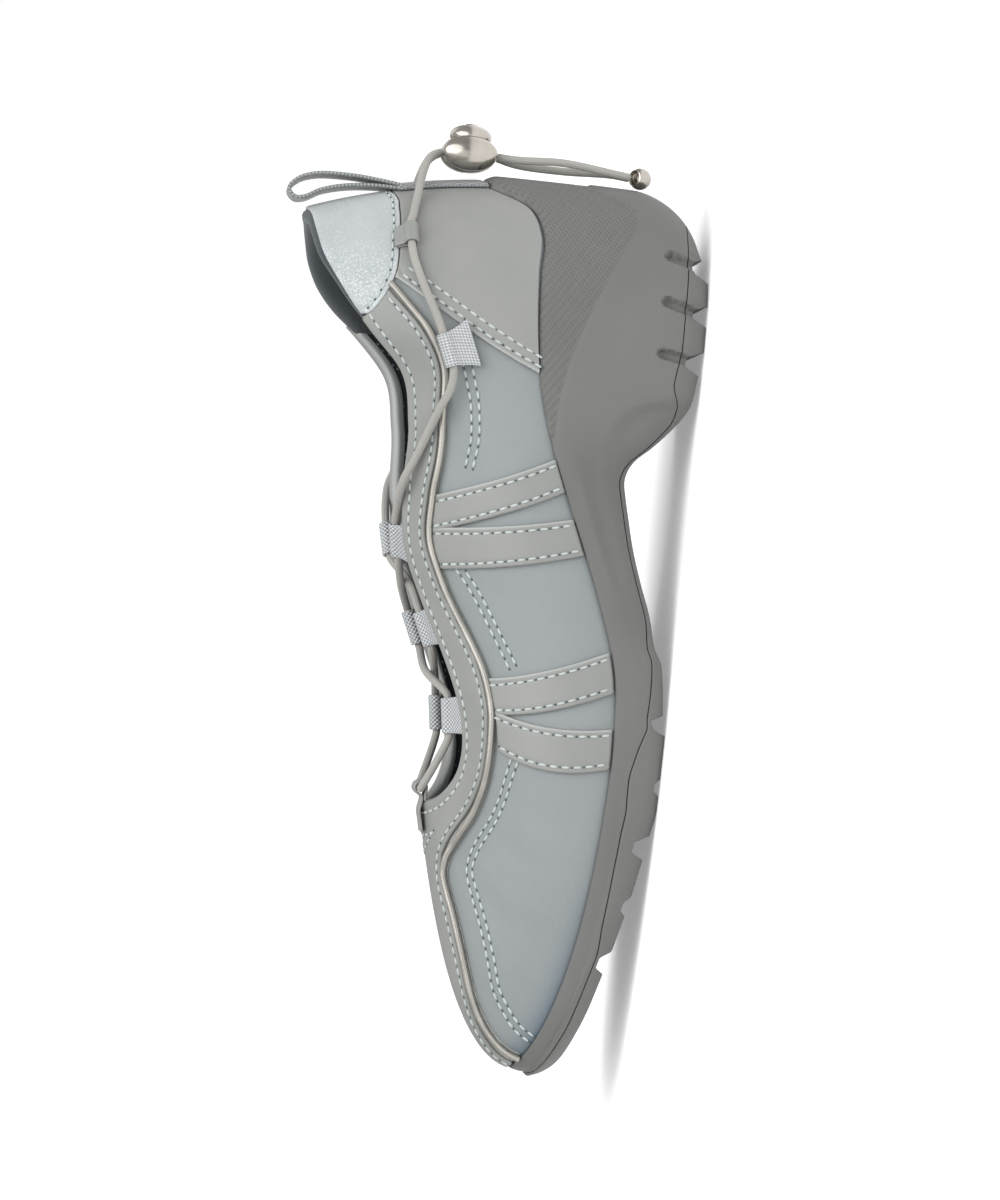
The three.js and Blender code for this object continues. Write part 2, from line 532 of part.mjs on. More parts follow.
function meshOf(name, solid, look) {
  const data = solid.getMesh();
  const geometry = new THREE.BufferGeometry();
  const positions = new Float32Array(data.numVert * 3);
  for (let i = 0; i < data.numVert; i += 1) {
    for (let k = 0; k < 3; k += 1) {
      positions[3 * i + k] = data.vertProperties[data.numProp * i + k];
    }
  }
  geometry.setAttribute('position', new THREE.BufferAttribute(positions, 3));
  geometry.setIndex(Array.from(data.triVerts));
  geometry.computeVertexNormals();
  const mesh = new THREE.Mesh(geometry, new THREE.MeshStandardMaterial(look));
  mesh.name = name;
  return mesh;
}

// A closed solid between two grids of points, its rows looped or with two ends
function slab(outer, inner, looped) {
  const rows = outer.length;
  const columns = outer[0].length;
  const id = (side, i, j) => (side * rows + (i % rows)) * columns + j;
  const faces = [];
  const quad = (a, b, c, d) => faces.push([a, b, c], [a, c, d]);
  const top = columns - 1;
  for (let i = 0; i < (looped ? rows : rows - 1); i += 1) {
    for (let j = 0; j < top; j += 1) {
      quad(id(0, i, j), id(0, i + 1, j), id(0, i + 1, j + 1), id(0, i, j + 1));
      quad(id(1, i, j), id(1, i, j + 1), id(1, i + 1, j + 1), id(1, i + 1, j));
    }
    quad(id(0, i, 0), id(1, i, 0), id(1, i + 1, 0), id(0, i + 1, 0));
    quad(id(0, i, top), id(0, i + 1, top), id(1, i + 1, top), id(1, i, top));
  }
  if (!looped) {
    const end = rows - 1;
    for (let j = 0; j < top; j += 1) {
      quad(id(0, 0, j), id(0, 0, j + 1), id(1, 0, j + 1), id(1, 0, j));
      quad(id(0, end, j + 1), id(0, end, j), id(1, end, j), id(1, end, j + 1));
    }
  }
  return solidFrom([...outer.flat(), ...inner.flat()], faces);
}

// A skin all round the upper between two distances from the wall
function skin(innerOut, outerOut, ups) {
  const grid = (out) => ROUND.map((at) => ups.map((up) => offWall(at, up, out)));
  return slab(grid(outerOut), grid(innerOut), true);
}

// A layer over the upper: a column of the wall at each place, from its low to its high edge
function layer(columns, rows, innerOut, outerOut) {
  const grid = (out) => columns.map((column) => {
    const points = [];
    for (let j = 0; j <= rows; j += 1) {
      const share = j / rows;
      const at = column.lowAt + (column.highAt - column.lowAt) * share;
      points.push(offWall(at, column.low + (column.high - column.low) * share, out));
    }
    return points;
  });
  return slab(grid(outerOut), grid(innerOut), false);
}

// The places of the upper's own columns from one place to another, with both ends
function placesBetween(first, last) {
  const near = 0.006;
  const all = [...ROUND.map((at) => at - 2), ...ROUND];
  return [first, ...all.filter((at) => at > first + near && at < last - near), last];
}

const COVER_LOW = 0.02;

// A path whose rings stand exactly at its points
class RingPath extends THREE.Curve {
  constructor(points) {
    super();
    this.points = points;
  }

  getPoint(share) {
    const place = share * (this.points.length - 1);
    const index = Math.min(Math.floor(place), this.points.length - 2);
    return this.points[index].clone().lerp(this.points[index + 1], place - index);
  }

  getPointAt(share) {
    return this.getPoint(share);
  }

  getTangentAt(share) {
    const index = Math.round(share * (this.points.length - 1));
    const after = this.points[Math.min(index + 1, this.points.length - 1)];
    return after.clone().sub(this.points[Math.max(index - 1, 0)]).normalize();
  }
}

// The fewest points of a smooth curve that keep within a tolerance of it
function thinned(points, tolerance) {
  const kept = [points[0]];
  let from = 0;
  while (from < points.length - 1) {
    let to = from + 1;
    let good = true;
    while (good && to < points.length - 1) {
      const line = new THREE.Line3(points[from], points[to + 1]);
      const foot = new THREE.Vector3();
      for (let i = from + 1; i <= to; i += 1) {
        line.closestPointToPoint(points[i], true, foot);
        good = good && foot.distanceTo(points[i]) < tolerance;
      }
      to += good ? 1 : 0;
    }
    kept.push(points[to]);
    from = to;
  }
  return kept;
}

function tube(points, radius, sides = TUBE_SIDES, tolerance = CURVE_TOLERANCE) {
  const section = new THREE.Shape();
  for (let i = 0; i < sides; i += 1) {
    const turn = (2 * Math.PI * i) / sides;
    const [u, v] = [radius * Math.cos(turn), radius * Math.sin(turn)];
    if (i === 0) {
      section.moveTo(u, v);
    } else {
      section.lineTo(u, v);
    }
  }
  const curve = new THREE.CatmullRomCurve3(points, false, 'centripetal');
  const rings = thinned(curve.getPoints(points.length * 8), tolerance);
  return solidOf(new THREE.ExtrudeGeometry(section, {
    steps: rings.length - 1,
    extrudePath: new RingPath(rings),
    bevelEnabled: false,
    curveSegments: 1,
  }));
}

// An outline in the plane of the shoe's side, carried across from one Y to another
function acrossShoe(outline, fromY, toY, holes) {
  const shape = new THREE.Shape(outline.map(([x, z]) => new THREE.Vector2(x, z)));
  (holes || []).forEach((hole) => shape.holes.push(new THREE.Path(hole.map(([x, z]) => new THREE.Vector2(x, z)))));
  const geometry = new THREE.ExtrudeGeometry(shape, { depth: toY - fromY, bevelEnabled: false, curveSegments: 1 });
  geometry.rotateX(Math.PI / 2);
  geometry.translate(0, toY, 0);
  return solidOf(geometry);
}

// Upper: one hollow wall, open at the collar and throat and underneath
function upperSolid() {
  return skin(-UPPER_WALL, 0, [-1, ...UP_ROWS]);
}

const soleLip = aroundShoe(SOLE_WALL, (row) => row.lip, (row) => row.lip);
const soleRim = aroundShoe(SOLE_WALL, (row) => row.rim, (row) => row.rim);
const soleFlank = aroundShoe(SOLE_WALL, (row) => row.flank, (row) => row.flank);
const soleRoll = aroundShoe(SOLE_WALL, (row) => row.roll, (row) => row.roll);
const soleInset = aroundShoe(SOLE_WALL, (row) => row.inset, (row) => row.inset);
const panelPlace = aroundShoe(SOLE_WALL, (row) => row.panel, (row) => row.panel);
const panelStep = aroundShoe(SOLE_WALL, (row) => row.step, (row) => row.step);
const RIM_DROP = 4;
const GROUND_SPARE = 3;
const ROLL_CORNER = 0.2;
const FLANK_BULGE = 0.2;
const STEP_HEIGHT = 0.8;
const CUP_COLUMN = 9;

// One side of the sole's section at a place round it, from the lower edge to the cup's floor
function soleSection(at) {
  const foot = footPoint(at);
  const out = planNormal(at);
  const from = (distance, z) => new THREE.Vector3(foot.x, foot.y, z).addScaledVector(out, distance);
  const flank = soleFlank(at) * RIM_WIDTH;
  const inset = -soleInset(at) * HEEL_INSET;
  const edge = from(inset, 0);
  const ground = groundHeight(edge.x) - GROUND_SPARE;
  const turn = groundHeight(edge.x) + soleRoll(at) * HEEL_ROLL;
  const corner = from(flank + (inset - flank) * ROLL_CORNER, groundHeight(edge.x) + (turn - ground) * ROLL_CORNER);
  const start = from(flank, turn);
  const end = from(inset, ground + GROUND_SPARE);
  const rolled = (t) => start.clone().multiplyScalar((1 - t) * (1 - t))
    .addScaledVector(corner, 2 * t * (1 - t))
    .addScaledVector(end, t * t);
  const rimZ = foot.z - RIM_DROP;
  const panel = panelPlace(at);
  const panelZ = turn + (rimZ - turn) * panel - STEP_HEIGHT / 2;
  const panelOut = flank + (soleRim(at) * RIM_WIDTH - flank) * panel + FLANK_BULGE;
  const cup = wallPoint(at, -1).addScaledVector(out, FIT);
  cup.z = shelfHeight(foot.x);
  return [
    from(inset, ground),
    rolled(1),
    rolled(0.7),
    rolled(0.35),
    start,
    from(panelOut, panelZ),
    from(panelOut - panelStep(at) * RIM_WIDTH, panelZ + STEP_HEIGHT),
    from(soleRim(at) * RIM_WIDTH, rimZ),
    from(soleLip(at) * RIM_WIDTH, foot.z),
    from(FIT, foot.z),
    cup,
  ];
}

// A closed body from one section a station, its first and last points joined across the shoe;
// from the turned column on, its facets are split like those of the upper's wall
function acrossBody(section, turned) {
  const half = STATIONS / 2;
  const columns = ROUND.map((at) => section(at));
  const count = columns[0].length;
  const points = columns.flat();
  const id = (i, j) => (i % STATIONS) * count + j;
  const faces = [];
  const quad = (a, b, c, d) => faces.push([a, b, c], [a, c, d]);
  for (let i = 0; i < STATIONS; i += 1) {
    for (let j = 0; j < count - 1; j += 1) {
      if (j < turned) {
        quad(id(i, j), id(i + 1, j), id(i + 1, j + 1), id(i, j + 1));
      } else {
        quad(id(i + 1, j), id(i + 1, j + 1), id(i, j + 1), id(i, j));
      }
    }
  }
  for (let i = 0; i < half; i += 1) {
    const [near, far] = [STATIONS - i, STATIONS - i - 1];
    quad(id(i, 0), id(near, 0), id(far, 0), id(i + 1, 0));
    quad(id(i, count - 1), id(i + 1, count - 1), id(far, count - 1), id(near, count - 1));
  }
  return solidFrom(points, faces);
}

// The ground line with its notches, as points from the heel to the toe
function lugLine() {
  const places = new Set(BOTTOM_LINE.map((row) => row.along));
  NOTCHES.forEach((notch) => places.add(notch.start).add(notch.end));
  const line = [];
  [...places].sort((a, b) => a - b).forEach((place) => {
    const x = place * LENGTH;
    const opens = NOTCHES.find((notch) => notch.start === place);
    const closes = NOTCHES.find((notch) => notch.end === place);
    const inside = NOTCHES.find((notch) => notch.start < place && place < notch.end);
    const lean = 0.28;
    if (opens) {
      const tall = opens.tall * NOTCH_HEIGHT;
      const width = (opens.end - opens.start) * LENGTH;
      line.push([x, groundHeight(x)]);
      line.push([x + width * lean, groundHeight(x + width * lean) + tall]);
      line.push([x + width * (1 - lean), groundHeight(x + width * (1 - lean)) + tall]);
    } else if (closes || !inside) {
      line.push([x, groundHeight(x)]);
    }
  });
  return line;
}

function partingLine(gap) {
  const places = new Set([...BOTTOM_LINE, ...OUTSOLE_LINE].map((row) => row.along));
  return [...places].sort((a, b) => a - b).map((place) => {
    const x = place * LENGTH;
    return [x, groundHeight(x) + between(OUTSOLE_LINE, 'along', 'thick', place) * NOTCH_HEIGHT + gap];
  });
}

// Recesses that rise from the heel's notches up the sole's side
function slotCutters() {
  return NOTCHES.filter((notch) => notch.slot > 0).flatMap((notch) => {
    const top = new THREE.Vector2(notch.slot * LENGTH, SLOT_TOP);
    const foot = new THREE.Vector2(((notch.start + notch.end) / 2) * LENGTH, NOTCH_HEIGHT * 0.4);
    const side = top.clone().sub(foot).normalize();
    const radius = SLOT_WIDTH / 2;
    const outline = [];
    for (let i = 0; i <= 6; i += 1) {
      const turn = (Math.PI * i) / 6;
      const [u, v] = [radius * Math.cos(turn), radius * Math.sin(turn)];
      outline.push([top.x + side.y * u + side.x * v, top.y - side.x * u + side.y * v]);
    }
    outline.push([foot.x - side.y * radius, foot.y + side.x * radius]);
    outline.push([foot.x + side.y * radius, foot.y - side.x * radius]);
    const wall = notch.slot * LENGTH < 30 ? 23.2 : between(
      SOLE_LINE.slice(3).map((row) => ({ along: row.along, wide: row.lateral * BALL_WIDTH })),
      'along',
      'wide',
      notch.slot,
    ) + RIM_WIDTH * 0.9;
    return [
      acrossShoe(outline, wall - SLOT_DEPTH, BALL_WIDTH),
      acrossShoe(outline, -BALL_WIDTH, SLOT_DEPTH - wall),
    ];
  });
}

function soleSolids() {
  const body = acrossBody(soleSection, CUP_COLUMN);
  const slots = slotCutters().reduce((all, next) => all.add(next));
  const first = -0.02 * LENGTH;
  const last = 1.02 * LENGTH;
  const roof = HEEL_SEAT + COLLAR_DEPTH;
  const above = [...partingLine(FIT), [last, roof], [first, roof]];
  const below = [...lugLine(), ...partingLine(0).reverse()];
  const midsole = body.intersect(acrossShoe(above, -BALL_WIDTH, BALL_WIDTH)).subtract(slots);
  const outsole = body.intersect(acrossShoe(below, -BALL_WIDTH, BALL_WIDTH)).subtract(slots);
  return { midsole, outsole };
}

// Insole: a dished pad on the cup's floor, inside the upper's wall
const INSOLE_BEVEL = 6;
function insoleSolid() {
  const section = (at) => {
    const out = planNormal(at);
    const edge = wallPoint(at, -1).addScaledVector(out, -UPPER_WALL - FIT);
    const floor = shelfHeight(footX(at)) + FIT;
    const inset = edge.clone().addScaledVector(out, -INSOLE_BEVEL);
    return [
      new THREE.Vector3(edge.x, edge.y, floor),
      new THREE.Vector3(edge.x, edge.y, floor + INSOLE + INSOLE_DISH),
      new THREE.Vector3(inset.x, inset.y, floor + INSOLE),
    ];
  };
  return acrossBody(section, Infinity);
}

// Leather round the collar's front and the throat, down the toe, with the lace's tunnel
const EDGE_CLEAR = 0.036;
const EYESTAY_BACK = 0.216;
const EYESTAY_FRONT = 0.942;
function eyestaySolid() {
  const side = (key, place) => {
    const back = [0, 1, 2].map((step) => EYESTAY_BACK + step * 0.0075);
    const columns = [...back, ...placesBetween(EYESTAY_BACK + 0.024, EYESTAY_FRONT)].map((at) => ({
      lowAt: place(at),
      highAt: place(at),
      low: between(EYESTAY_EDGE, 'at', key, at) + EDGE_CLEAR,
      high: 1,
    }));
    return layer(columns, 3, FIT, FIT + LEATHER);
  };
  const rows = [...TOE_STRIP].reverse().map((row) => ({
    at: row.at + EDGE_CLEAR * 0.4,
    up: Math.max(row.up, COVER_LOW),
  }));
  const shares = [0, 1 / 6, 2 / 6, 3 / 6, 4 / 6, 5 / 6, 1];
  const grid = (out) => shares.map((share) => rows.map((row) => offWall(row.at + (2 - 2 * row.at) * share, row.up, out)));
  const strip = slab(grid(FIT + LEATHER), grid(FIT), false);
  return side('lateral', (at) => at).add(side('medial', (at) => 2 - at)).add(strip).add(tunnelSolid());
}

// The tunnel at the throat's front: a fold of the same leather round the lace
function tunnelSolid() {
  const lace = LACE_THROAT.find((row) => row.name === 'tunnel');
  const { x, z } = laceThroatPoint(lace);
  const [inner, outer] = [LACE_RADIUS + FIT, LACE_RADIUS + FIT + 0.85];
  const ring = (radius, from, to, steps) => {
    const arc = [];
    for (let i = 0; i <= steps; i += 1) {
      const turn = THREE.MathUtils.degToRad(from + ((to - from) * i) / steps);
      arc.push([x + radius * Math.cos(turn), z + radius * Math.sin(turn)]);
    }
    return arc;
  };
  const seam = offWall(1, 0.985, FIT + LEATHER / 2);
  const far = offWall(1, 0.93, FIT + LEATHER / 2);
  const outline = [
    ...ring(outer, 60, 318, 10),
    [seam.x - 2.2, seam.z + 0.35],
    [far.x, far.z - 0.3],
    [far.x, far.z + 0.3],
    [seam.x, seam.z + 0.75],
  ];
  return acrossShoe(outline, -TUNNEL_WIDTH / 2, TUNNEL_WIDTH / 2, [ring(inner, 0, 330, 11)]);
}

const PATCH_CLEAR = 0.012;
const PATCH_CORNER = 0.1705;
const PATCH_FRONT = 0.2095;
const COUNTER_TIP = 0.255;
function counterSolid() {
  const corner = PATCH_CORNER;
  const front = COUNTER_TIP;
  const steep = [0, 1, 2, 3, 4, 5, 6].map((step) => front + ((corner - front) * step) / 6);
  const places = [...steep.map((at) => -at), ...placesBetween(-corner, corner).slice(1, -1), ...steep.reverse()];
  const columns = places.map((at) => {
    const away = Math.abs(at);
    const high = away > corner + 1e-6
      ? between(COUNTER_FRONT, 'at', 'up', away)
      : between(PATCH_EDGE, 'at', 'up', away) - PATCH_CLEAR;
    return { lowAt: at, highAt: at, low: COVER_LOW, high };
  });
  return layer(columns, 5, FIT, FIT + LEATHER);
}

function patchSolid() {
  const front = [0, 0.27, 0.58, 0.76, 1].map((share) => PATCH_CORNER + (PATCH_FRONT - PATCH_CORNER) * share);
  const middle = placesBetween(-PATCH_CORNER, PATCH_CORNER).slice(1, -1);
  const places = [...[...front].reverse().map((at) => -at), ...middle, ...front];
  const columns = places.map((at) => ({
    lowAt: at,
    highAt: at,
    low: between(PATCH_EDGE, 'at', 'up', Math.abs(at)),
    high: 1,
  }));
  return layer(columns, 3, FIT, FIT + SUEDE);
}

function bandSolid(band, side) {
  const place = (at) => (side > 0 ? at : 2 - at);
  const key = side > 0 ? 'lateral' : 'medial';
  const strip = (low, high) => {
    const columns = [0, 1 / 3, 2 / 3, 1].map((share) => {
      const end = high[0] + (high[1] - high[0]) * share;
      return {
        lowAt: place(low[0] + (low[1] - low[0]) * share),
        highAt: place(end),
        low: COVER_LOW,
        high: between(EYESTAY_EDGE, 'at', key, end) - EDGE_CLEAR,
      };
    });
    return layer(columns, 6, FIT, FIT + LEATHER);
  };
  return strip(band.low, band.high).add(strip(band.lowNext, band.highNext));
}

// Piping along the leather's lower edge and down the toe strip's edge
const PIPING_STEPS = 40;
function pipingSolid(side) {
  const out = FIT + PIPING_RADIUS + 0.12;
  const place = (at) => (side > 0 ? at : 2 - at);
  const key = side > 0 ? 'lateral' : 'medial';
  const first = EYESTAY_EDGE[0].at;
  const last = EYESTAY_EDGE[EYESTAY_EDGE.length - 1].at;
  const points = [];
  for (let i = 0; i <= PIPING_STEPS; i += 1) {
    const at = first + ((last - first) * i) / PIPING_STEPS;
    points.push(offWall(place(at), between(EYESTAY_EDGE, 'at', key, at), out));
  }
  TOE_STRIP.slice(2).forEach((row) => points.push(offWall(place(row.at), row.up, out)));
  return tube(points, PIPING_RADIUS, 6, CURVE_TOLERANCE * 0.5);
}

const deep = FIT + LEATHER;

// Tape up the back of the heel, joined to the webbing loop that stands over the collar
function heelPullSolid() {
  const half = 0.0365;
  const columns = placesBetween(-half, half).map((at) => ({ lowAt: at, highAt: at, low: COVER_LOW, high: 0.52 }));
  const tape = layer(columns, 6, deep + FIT, deep + FIT + HEEL_TAPE);
  const root = offWall(0, 0.5, deep + FIT + HEEL_TAPE / 2);
  const rise = HEEL_SEAT + COLLAR_DEPTH - root.z;
  const side = [
    [root.x + 0.2, root.z - 5],
    [root.x - 0.9, root.z + rise * 0.2],
    [root.x - 1.3, root.z + rise * 0.55],
    [root.x - 0.6, root.z + rise * 0.95],
    [root.x + 1.6, root.z + rise * 1.16],
    [root.x + 4.6, root.z + rise * 1.25],
    [root.x + 6.9, root.z + rise * 1.17],
    [root.x + 6.6, root.z + rise * 1.05],
    [root.x + 4.0, root.z + rise * 0.86],
    [root.x + 1.9, root.z + rise * 0.56],
    [root.x + 0.9, root.z + rise * 0.2],
    [root.x + 0.9, root.z - 3],
  ];
  const curve = new THREE.CatmullRomCurve3(side.map(([x, z]) => new THREE.Vector3(x, 0, z)), false, 'centripetal');
  const fold = 5 / (side.length - 1);
  const leg = (from, to) => {
    const line = [];
    for (let i = 0; i <= 40; i += 1) {
      line.push(curve.getPoint(from + ((to - from) * i) / 40));
    }
    const centre = thinned(line, CURVE_TOLERANCE * 0.5);
    const left = [];
    const right = [];
    centre.forEach((point, i) => {
      const before = centre[Math.max(i - 1, 0)];
      const after = centre[Math.min(i + 1, centre.length - 1)];
      const across = new THREE.Vector2(after.x - before.x, after.z - before.z).normalize();
      left.push([point.x - across.y * WEBBING * 0.7, point.z + across.x * WEBBING * 0.7]);
      right.push([point.x + across.y * WEBBING * 0.7, point.z - across.x * WEBBING * 0.7]);
    });
    return acrossShoe([...left, ...right.reverse()], -TAPE_WIDTH / 2, TAPE_WIDTH / 2);
  };
  const loop = leg(0, fold + 0.02).add(leg(fold - 0.02, 1));
  return tape.add(loop.subtract(guard()));
}

// Room that the upper and its layers take, with the clearance that trim keeps to them
let guardSolid = null;
function guard() {
  if (!guardSolid) {
    const ups = [0.02, ...UP_ROWS.slice(1, -1), 1.012];
    guardSolid = skin(-UPPER_WALL - FIT, deep + FIT, ups);
  }
  return guardSolid;
}

// A webbing loop folded round the lace: its hole on the lace, its tail towards the seam
function loopSolid(centre, along3, tail, width, reach, thickness) {
  const w = along3.clone().normalize();
  const d = tail.clone().addScaledVector(w, -tail.dot(w)).normalize();
  const n = new THREE.Vector3().crossVectors(w, d);
  const inner = LACE_RADIUS + FIT * 1.3;
  const outer = inner + thickness;
  const arc = (radius, from, to, steps) => {
    const points = [];
    for (let i = 0; i <= steps; i += 1) {
      const turn = THREE.MathUtils.degToRad(from + ((to - from) * i) / steps);
      points.push(new THREE.Vector2(radius * Math.cos(turn), radius * Math.sin(turn)));
    }
    return points;
  };
  const shape = new THREE.Shape([
    ...arc(outer, 70, 290, 7),
    new THREE.Vector2(reach, -thickness),
    new THREE.Vector2(reach, thickness),
  ]);
  shape.holes.push(new THREE.Path(arc(inner, 0, 315, 7)));
  const geometry = new THREE.ExtrudeGeometry(shape, { depth: width, bevelEnabled: false, curveSegments: 1 });
  geometry.translate(0, 0, -width / 2);
  const frame = new THREE.Matrix4().makeBasis(d, n.clone().negate(), w).setPosition(centre);
  if (frame.determinant() < 0) {
    frame.makeBasis(d, n, w).setPosition(centre);
  }
  geometry.applyMatrix4(frame);
  return solidOf(geometry);
}

const laceThroatPoint = (row) => new THREE.Vector3(
  row.along * LENGTH,
  row.side * row.across * BALL_WIDTH,
  row.up * (BALL_SEAT + INSTEP_DEPTH),
);

function laceThroatWay(row) {
  const turn = THREE.MathUtils.degToRad(row.turn);
  return new THREE.Vector3(Math.cos(turn), Math.sin(turn), -row.fall).normalize();
}

// Points that keep the lace straight through a fitting
function throughFitting(centre, way, width) {
  const half = width / 2;
  return [-half - 0.6, 1.5 - half, half - 1.5, half + 0.6].map((step) => centre.clone().addScaledVector(way, step));
}

// The larger of the bodies left after a cut
function mainBody(solid) {
  const bodies = solid.decompose();
  return bodies.reduce((best, next) => (next.volume() > best.volume() ? next : best));
}

function throatLoops() {
  return LACE_THROAT.filter((row) => row.at > 0).map((row) => {
    const centre = laceThroatPoint(row);
    const tail = offWall(row.side > 0 ? row.at : 2 - row.at, 1, 0).sub(centre);
    const loop = loopSolid(centre, laceThroatWay(row), tail, LOOP_WIDTH, tail.length() + 3, WEBBING);
    return { name: `throat_loop_${row.name}`, solid: mainBody(loop.subtract(guard())) };
  });
}

const FITTING_WIDTHS = { side_loop: SIDE_LOOP_WIDTH, keeper: KEEPER_WIDTH };

// A held row of the lace's run on one side of the shoe: its centre and the lace's way there
function heldRow(row, side) {
  const place = (at) => (side > 0 ? at : 2 - at);
  const step = 0.015;
  const out = row.out * LACE_RADIUS;
  const before = offWall(place(row.at - step), row.up - step * row.slope, out);
  const after = offWall(place(row.at + step), row.up + step * row.slope, out);
  return { centre: before.clone().lerp(after, 0.5), way: after.sub(before).normalize() };
}

function sideFitting(hold, side, reach, towards) {
  const row = LACE_RUN.find((point) => point.hold === hold);
  const { centre, way } = heldRow(row, side);
  const tail = offWall(side > 0 ? row.at : 2 - row.at, row.up + towards, row.out * LACE_RADIUS).sub(centre);
  const loop = loopSolid(centre, way, tail, FITTING_WIDTHS[hold], reach, WEBBING);
  return mainBody(loop.subtract(guard()));
}

// The lace: one elastic cord from the lock, through every loop and back to the lock
function lacePoints() {
  const lock = lockCentre();
  const rim = lock.z + LOCK_HEIGHT / 2 + FIT;
  const run = (side) => [
    new THREE.Vector3(lock.x + 0.6, side * 2.2, rim),
    new THREE.Vector3(lock.x + 3.0, side * 5.4, rim + 3.2),
    ...LACE_RUN.flatMap((row) => {
      if (row.hold) {
        const { centre, way } = heldRow(row, side);
        return throughFitting(centre, way, FITTING_WIDTHS[row.hold]);
      }
      return [offWall(side > 0 ? row.at : 2 - row.at, row.up, row.out * LACE_RADIUS)];
    }),
  ];
  const throat = LACE_THROAT.flatMap((row) => {
    const centre = laceThroatPoint(row);
    if (row.name) {
      const width = row.at > 0 ? LOOP_WIDTH : TUNNEL_WIDTH;
      return throughFitting(centre, laceThroatWay(row), width);
    }
    return [centre];
  });
  return [...run(1), ...throat, ...run(-1).reverse()];
}

function laceSolid() {
  return tube(lacePoints(), LACE_RADIUS, TUBE_SIDES, CURVE_TOLERANCE * 0.6);
}

function lockCentre() {
  const back = offWall(0, 0.12, deep + FIT + HEEL_TAPE);
  return new THREE.Vector3(back.x - 2.6 - LOCK_DEPTH / 2, 0, HEEL_SEAT + HEEL_PEAK + 5);
}

function ball(rx, ry, rz, x, y, z) {
  const geometry = new THREE.SphereGeometry(1, 12, 8);
  geometry.rotateX(Math.PI / 2);
  geometry.scale(rx, ry, rz);
  geometry.translate(x, y, z);
  return solidOf(geometry);
}

function rod(radius, length, x, y, z) {
  const geometry = new THREE.CylinderGeometry(radius, radius, length, 16);
  geometry.rotateZ(Math.PI / 2);
  geometry.translate(x, y, z);
  return solidOf(geometry);
}

// Cord lock: two lobes and the bridge between them, with a pocket behind for the button
function lockSolid() {
  const centre = lockCentre();
  const [rx, ry, rz] = [LOCK_DEPTH / 2, LOCK_WIDTH * 0.24, LOCK_HEIGHT / 2];
  const lobe = (side) => ball(rx, ry, rz, centre.x, side * (LOCK_WIDTH / 2 - ry), centre.z);
  const bridge = ball(rx * 0.82, LOCK_WIDTH * 0.36, rz * 0.86, centre.x - rx * 0.1, 0, centre.z);
  const pocket = rod(BUTTON_WIDTH / 2 + FIT, 20, centre.x - 10 - rx * 0.25, 0, centre.z);
  return lobe(1).add(lobe(-1)).add(bridge).subtract(pocket);
}

// Button: a domed cap that slides in the lock's pocket
function buttonSolid() {
  const centre = lockCentre();
  const radius = BUTTON_WIDTH / 2;
  const face = centre.x - (LOCK_DEPTH / 2) * 0.25 - BUTTON_TRAVEL - 0.5;
  const profile = [new THREE.Vector2(0, 0), new THREE.Vector2(radius, 0), new THREE.Vector2(radius, 1.2)];
  for (let i = 1; i <= 5; i += 1) {
    const turn = (Math.PI / 2) * (i / 5);
    profile.push(new THREE.Vector2(radius * Math.cos(turn), 1.2 + (BUTTON_DEPTH - 1.2) * Math.sin(turn)));
  }
  profile[profile.length - 1].x = 0;
  const geometry = new THREE.LatheGeometry(profile, 16);
  geometry.rotateZ(Math.PI / 2);
  geometry.translate(face, 0, centre.z);
  return solidOf(geometry);
}

// Bead at the end of the lace's two tails
function beadCentre() {
  const foot = offWall(0, 0, 0);
  return new THREE.Vector3(foot.x - RIM_WIDTH * 2.2 - BEAD_DIAMETER / 2 - 0.5, -1.5, HEEL_ROLL + 1.8);
}

function tailSolid(side) {
  const lock = lockCentre();
  const bead = beadCentre();
  const top = lock.z - LOCK_HEIGHT / 2 - FIT;
  const end = bead.z + BEAD_DIAMETER / 2 + FIT;
  const outer = bead.x + RIM_WIDTH * 0.2;
  return tube([
    new THREE.Vector3(lock.x, side * 2.0, top),
    new THREE.Vector3(side > 0 ? lock.x + 0.2 : lock.x + 1.2, side * 2.6, top - 6),
    new THREE.Vector3(side > 0 ? outer - 2.2 : outer - 0.2, side * 2.9 - 0.6, (top + end) / 2),
    new THREE.Vector3(outer - 0.9, side * 2.2 - 1.0, end + 5),
    new THREE.Vector3(bead.x, bead.y + side * 1.45, end),
  ], LACE_RADIUS);
}

const shoe = new THREE.Group();
shoe.position.x = -ORIGIN_ALONG;
const put = (name, solid, look) => shoe.add(meshOf(name, solid, look));

const sole = soleSolids();
put('outsole', sole.outsole, RUBBER_LOOK);
put('midsole', sole.midsole, FOAM_LOOK);
put('insole', insoleSolid(), INSOLE_LOOK);
put('upper', upperSolid(), FABRIC_LOOK);
put('eyestay', eyestaySolid(), LEATHER_LOOK);
put('heel_counter', counterSolid(), LEATHER_LOOK);
put('collar_patch', patchSolid(), SUEDE_LOOK);
SIDE_BANDS.forEach((band) => {
  put(`side_band_${band.name}_lateral`, bandSolid(band, 1), LEATHER_LOOK);
  put(`side_band_${band.name}_medial`, bandSolid(band, -1), LEATHER_LOOK);
});
put('piping_lateral', pipingSolid(1), PIPING_LOOK);
put('piping_medial', pipingSolid(-1), PIPING_LOOK);
put('heel_pull', heelPullSolid(), WEBBING_LOOK);
throatLoops().forEach((loop) => put(loop.name, loop.solid, WEBBING_LOOK));
[1, -1].forEach((side) => {
  const name = side > 0 ? 'lateral' : 'medial';
  put(`side_loop_${name}`, sideFitting('side_loop', side, 7, -0.1), WEBBING_LOOK);
  put(`keeper_${name}`, sideFitting('keeper', side, 4.5, 0.1), LEATHER_LOOK);
});
put('lace', laceSolid(), CORD_LOOK);
put('lock_body', lockSolid(), METAL_LOOK);
put('lock_button', buttonSolid(), METAL_LOOK);
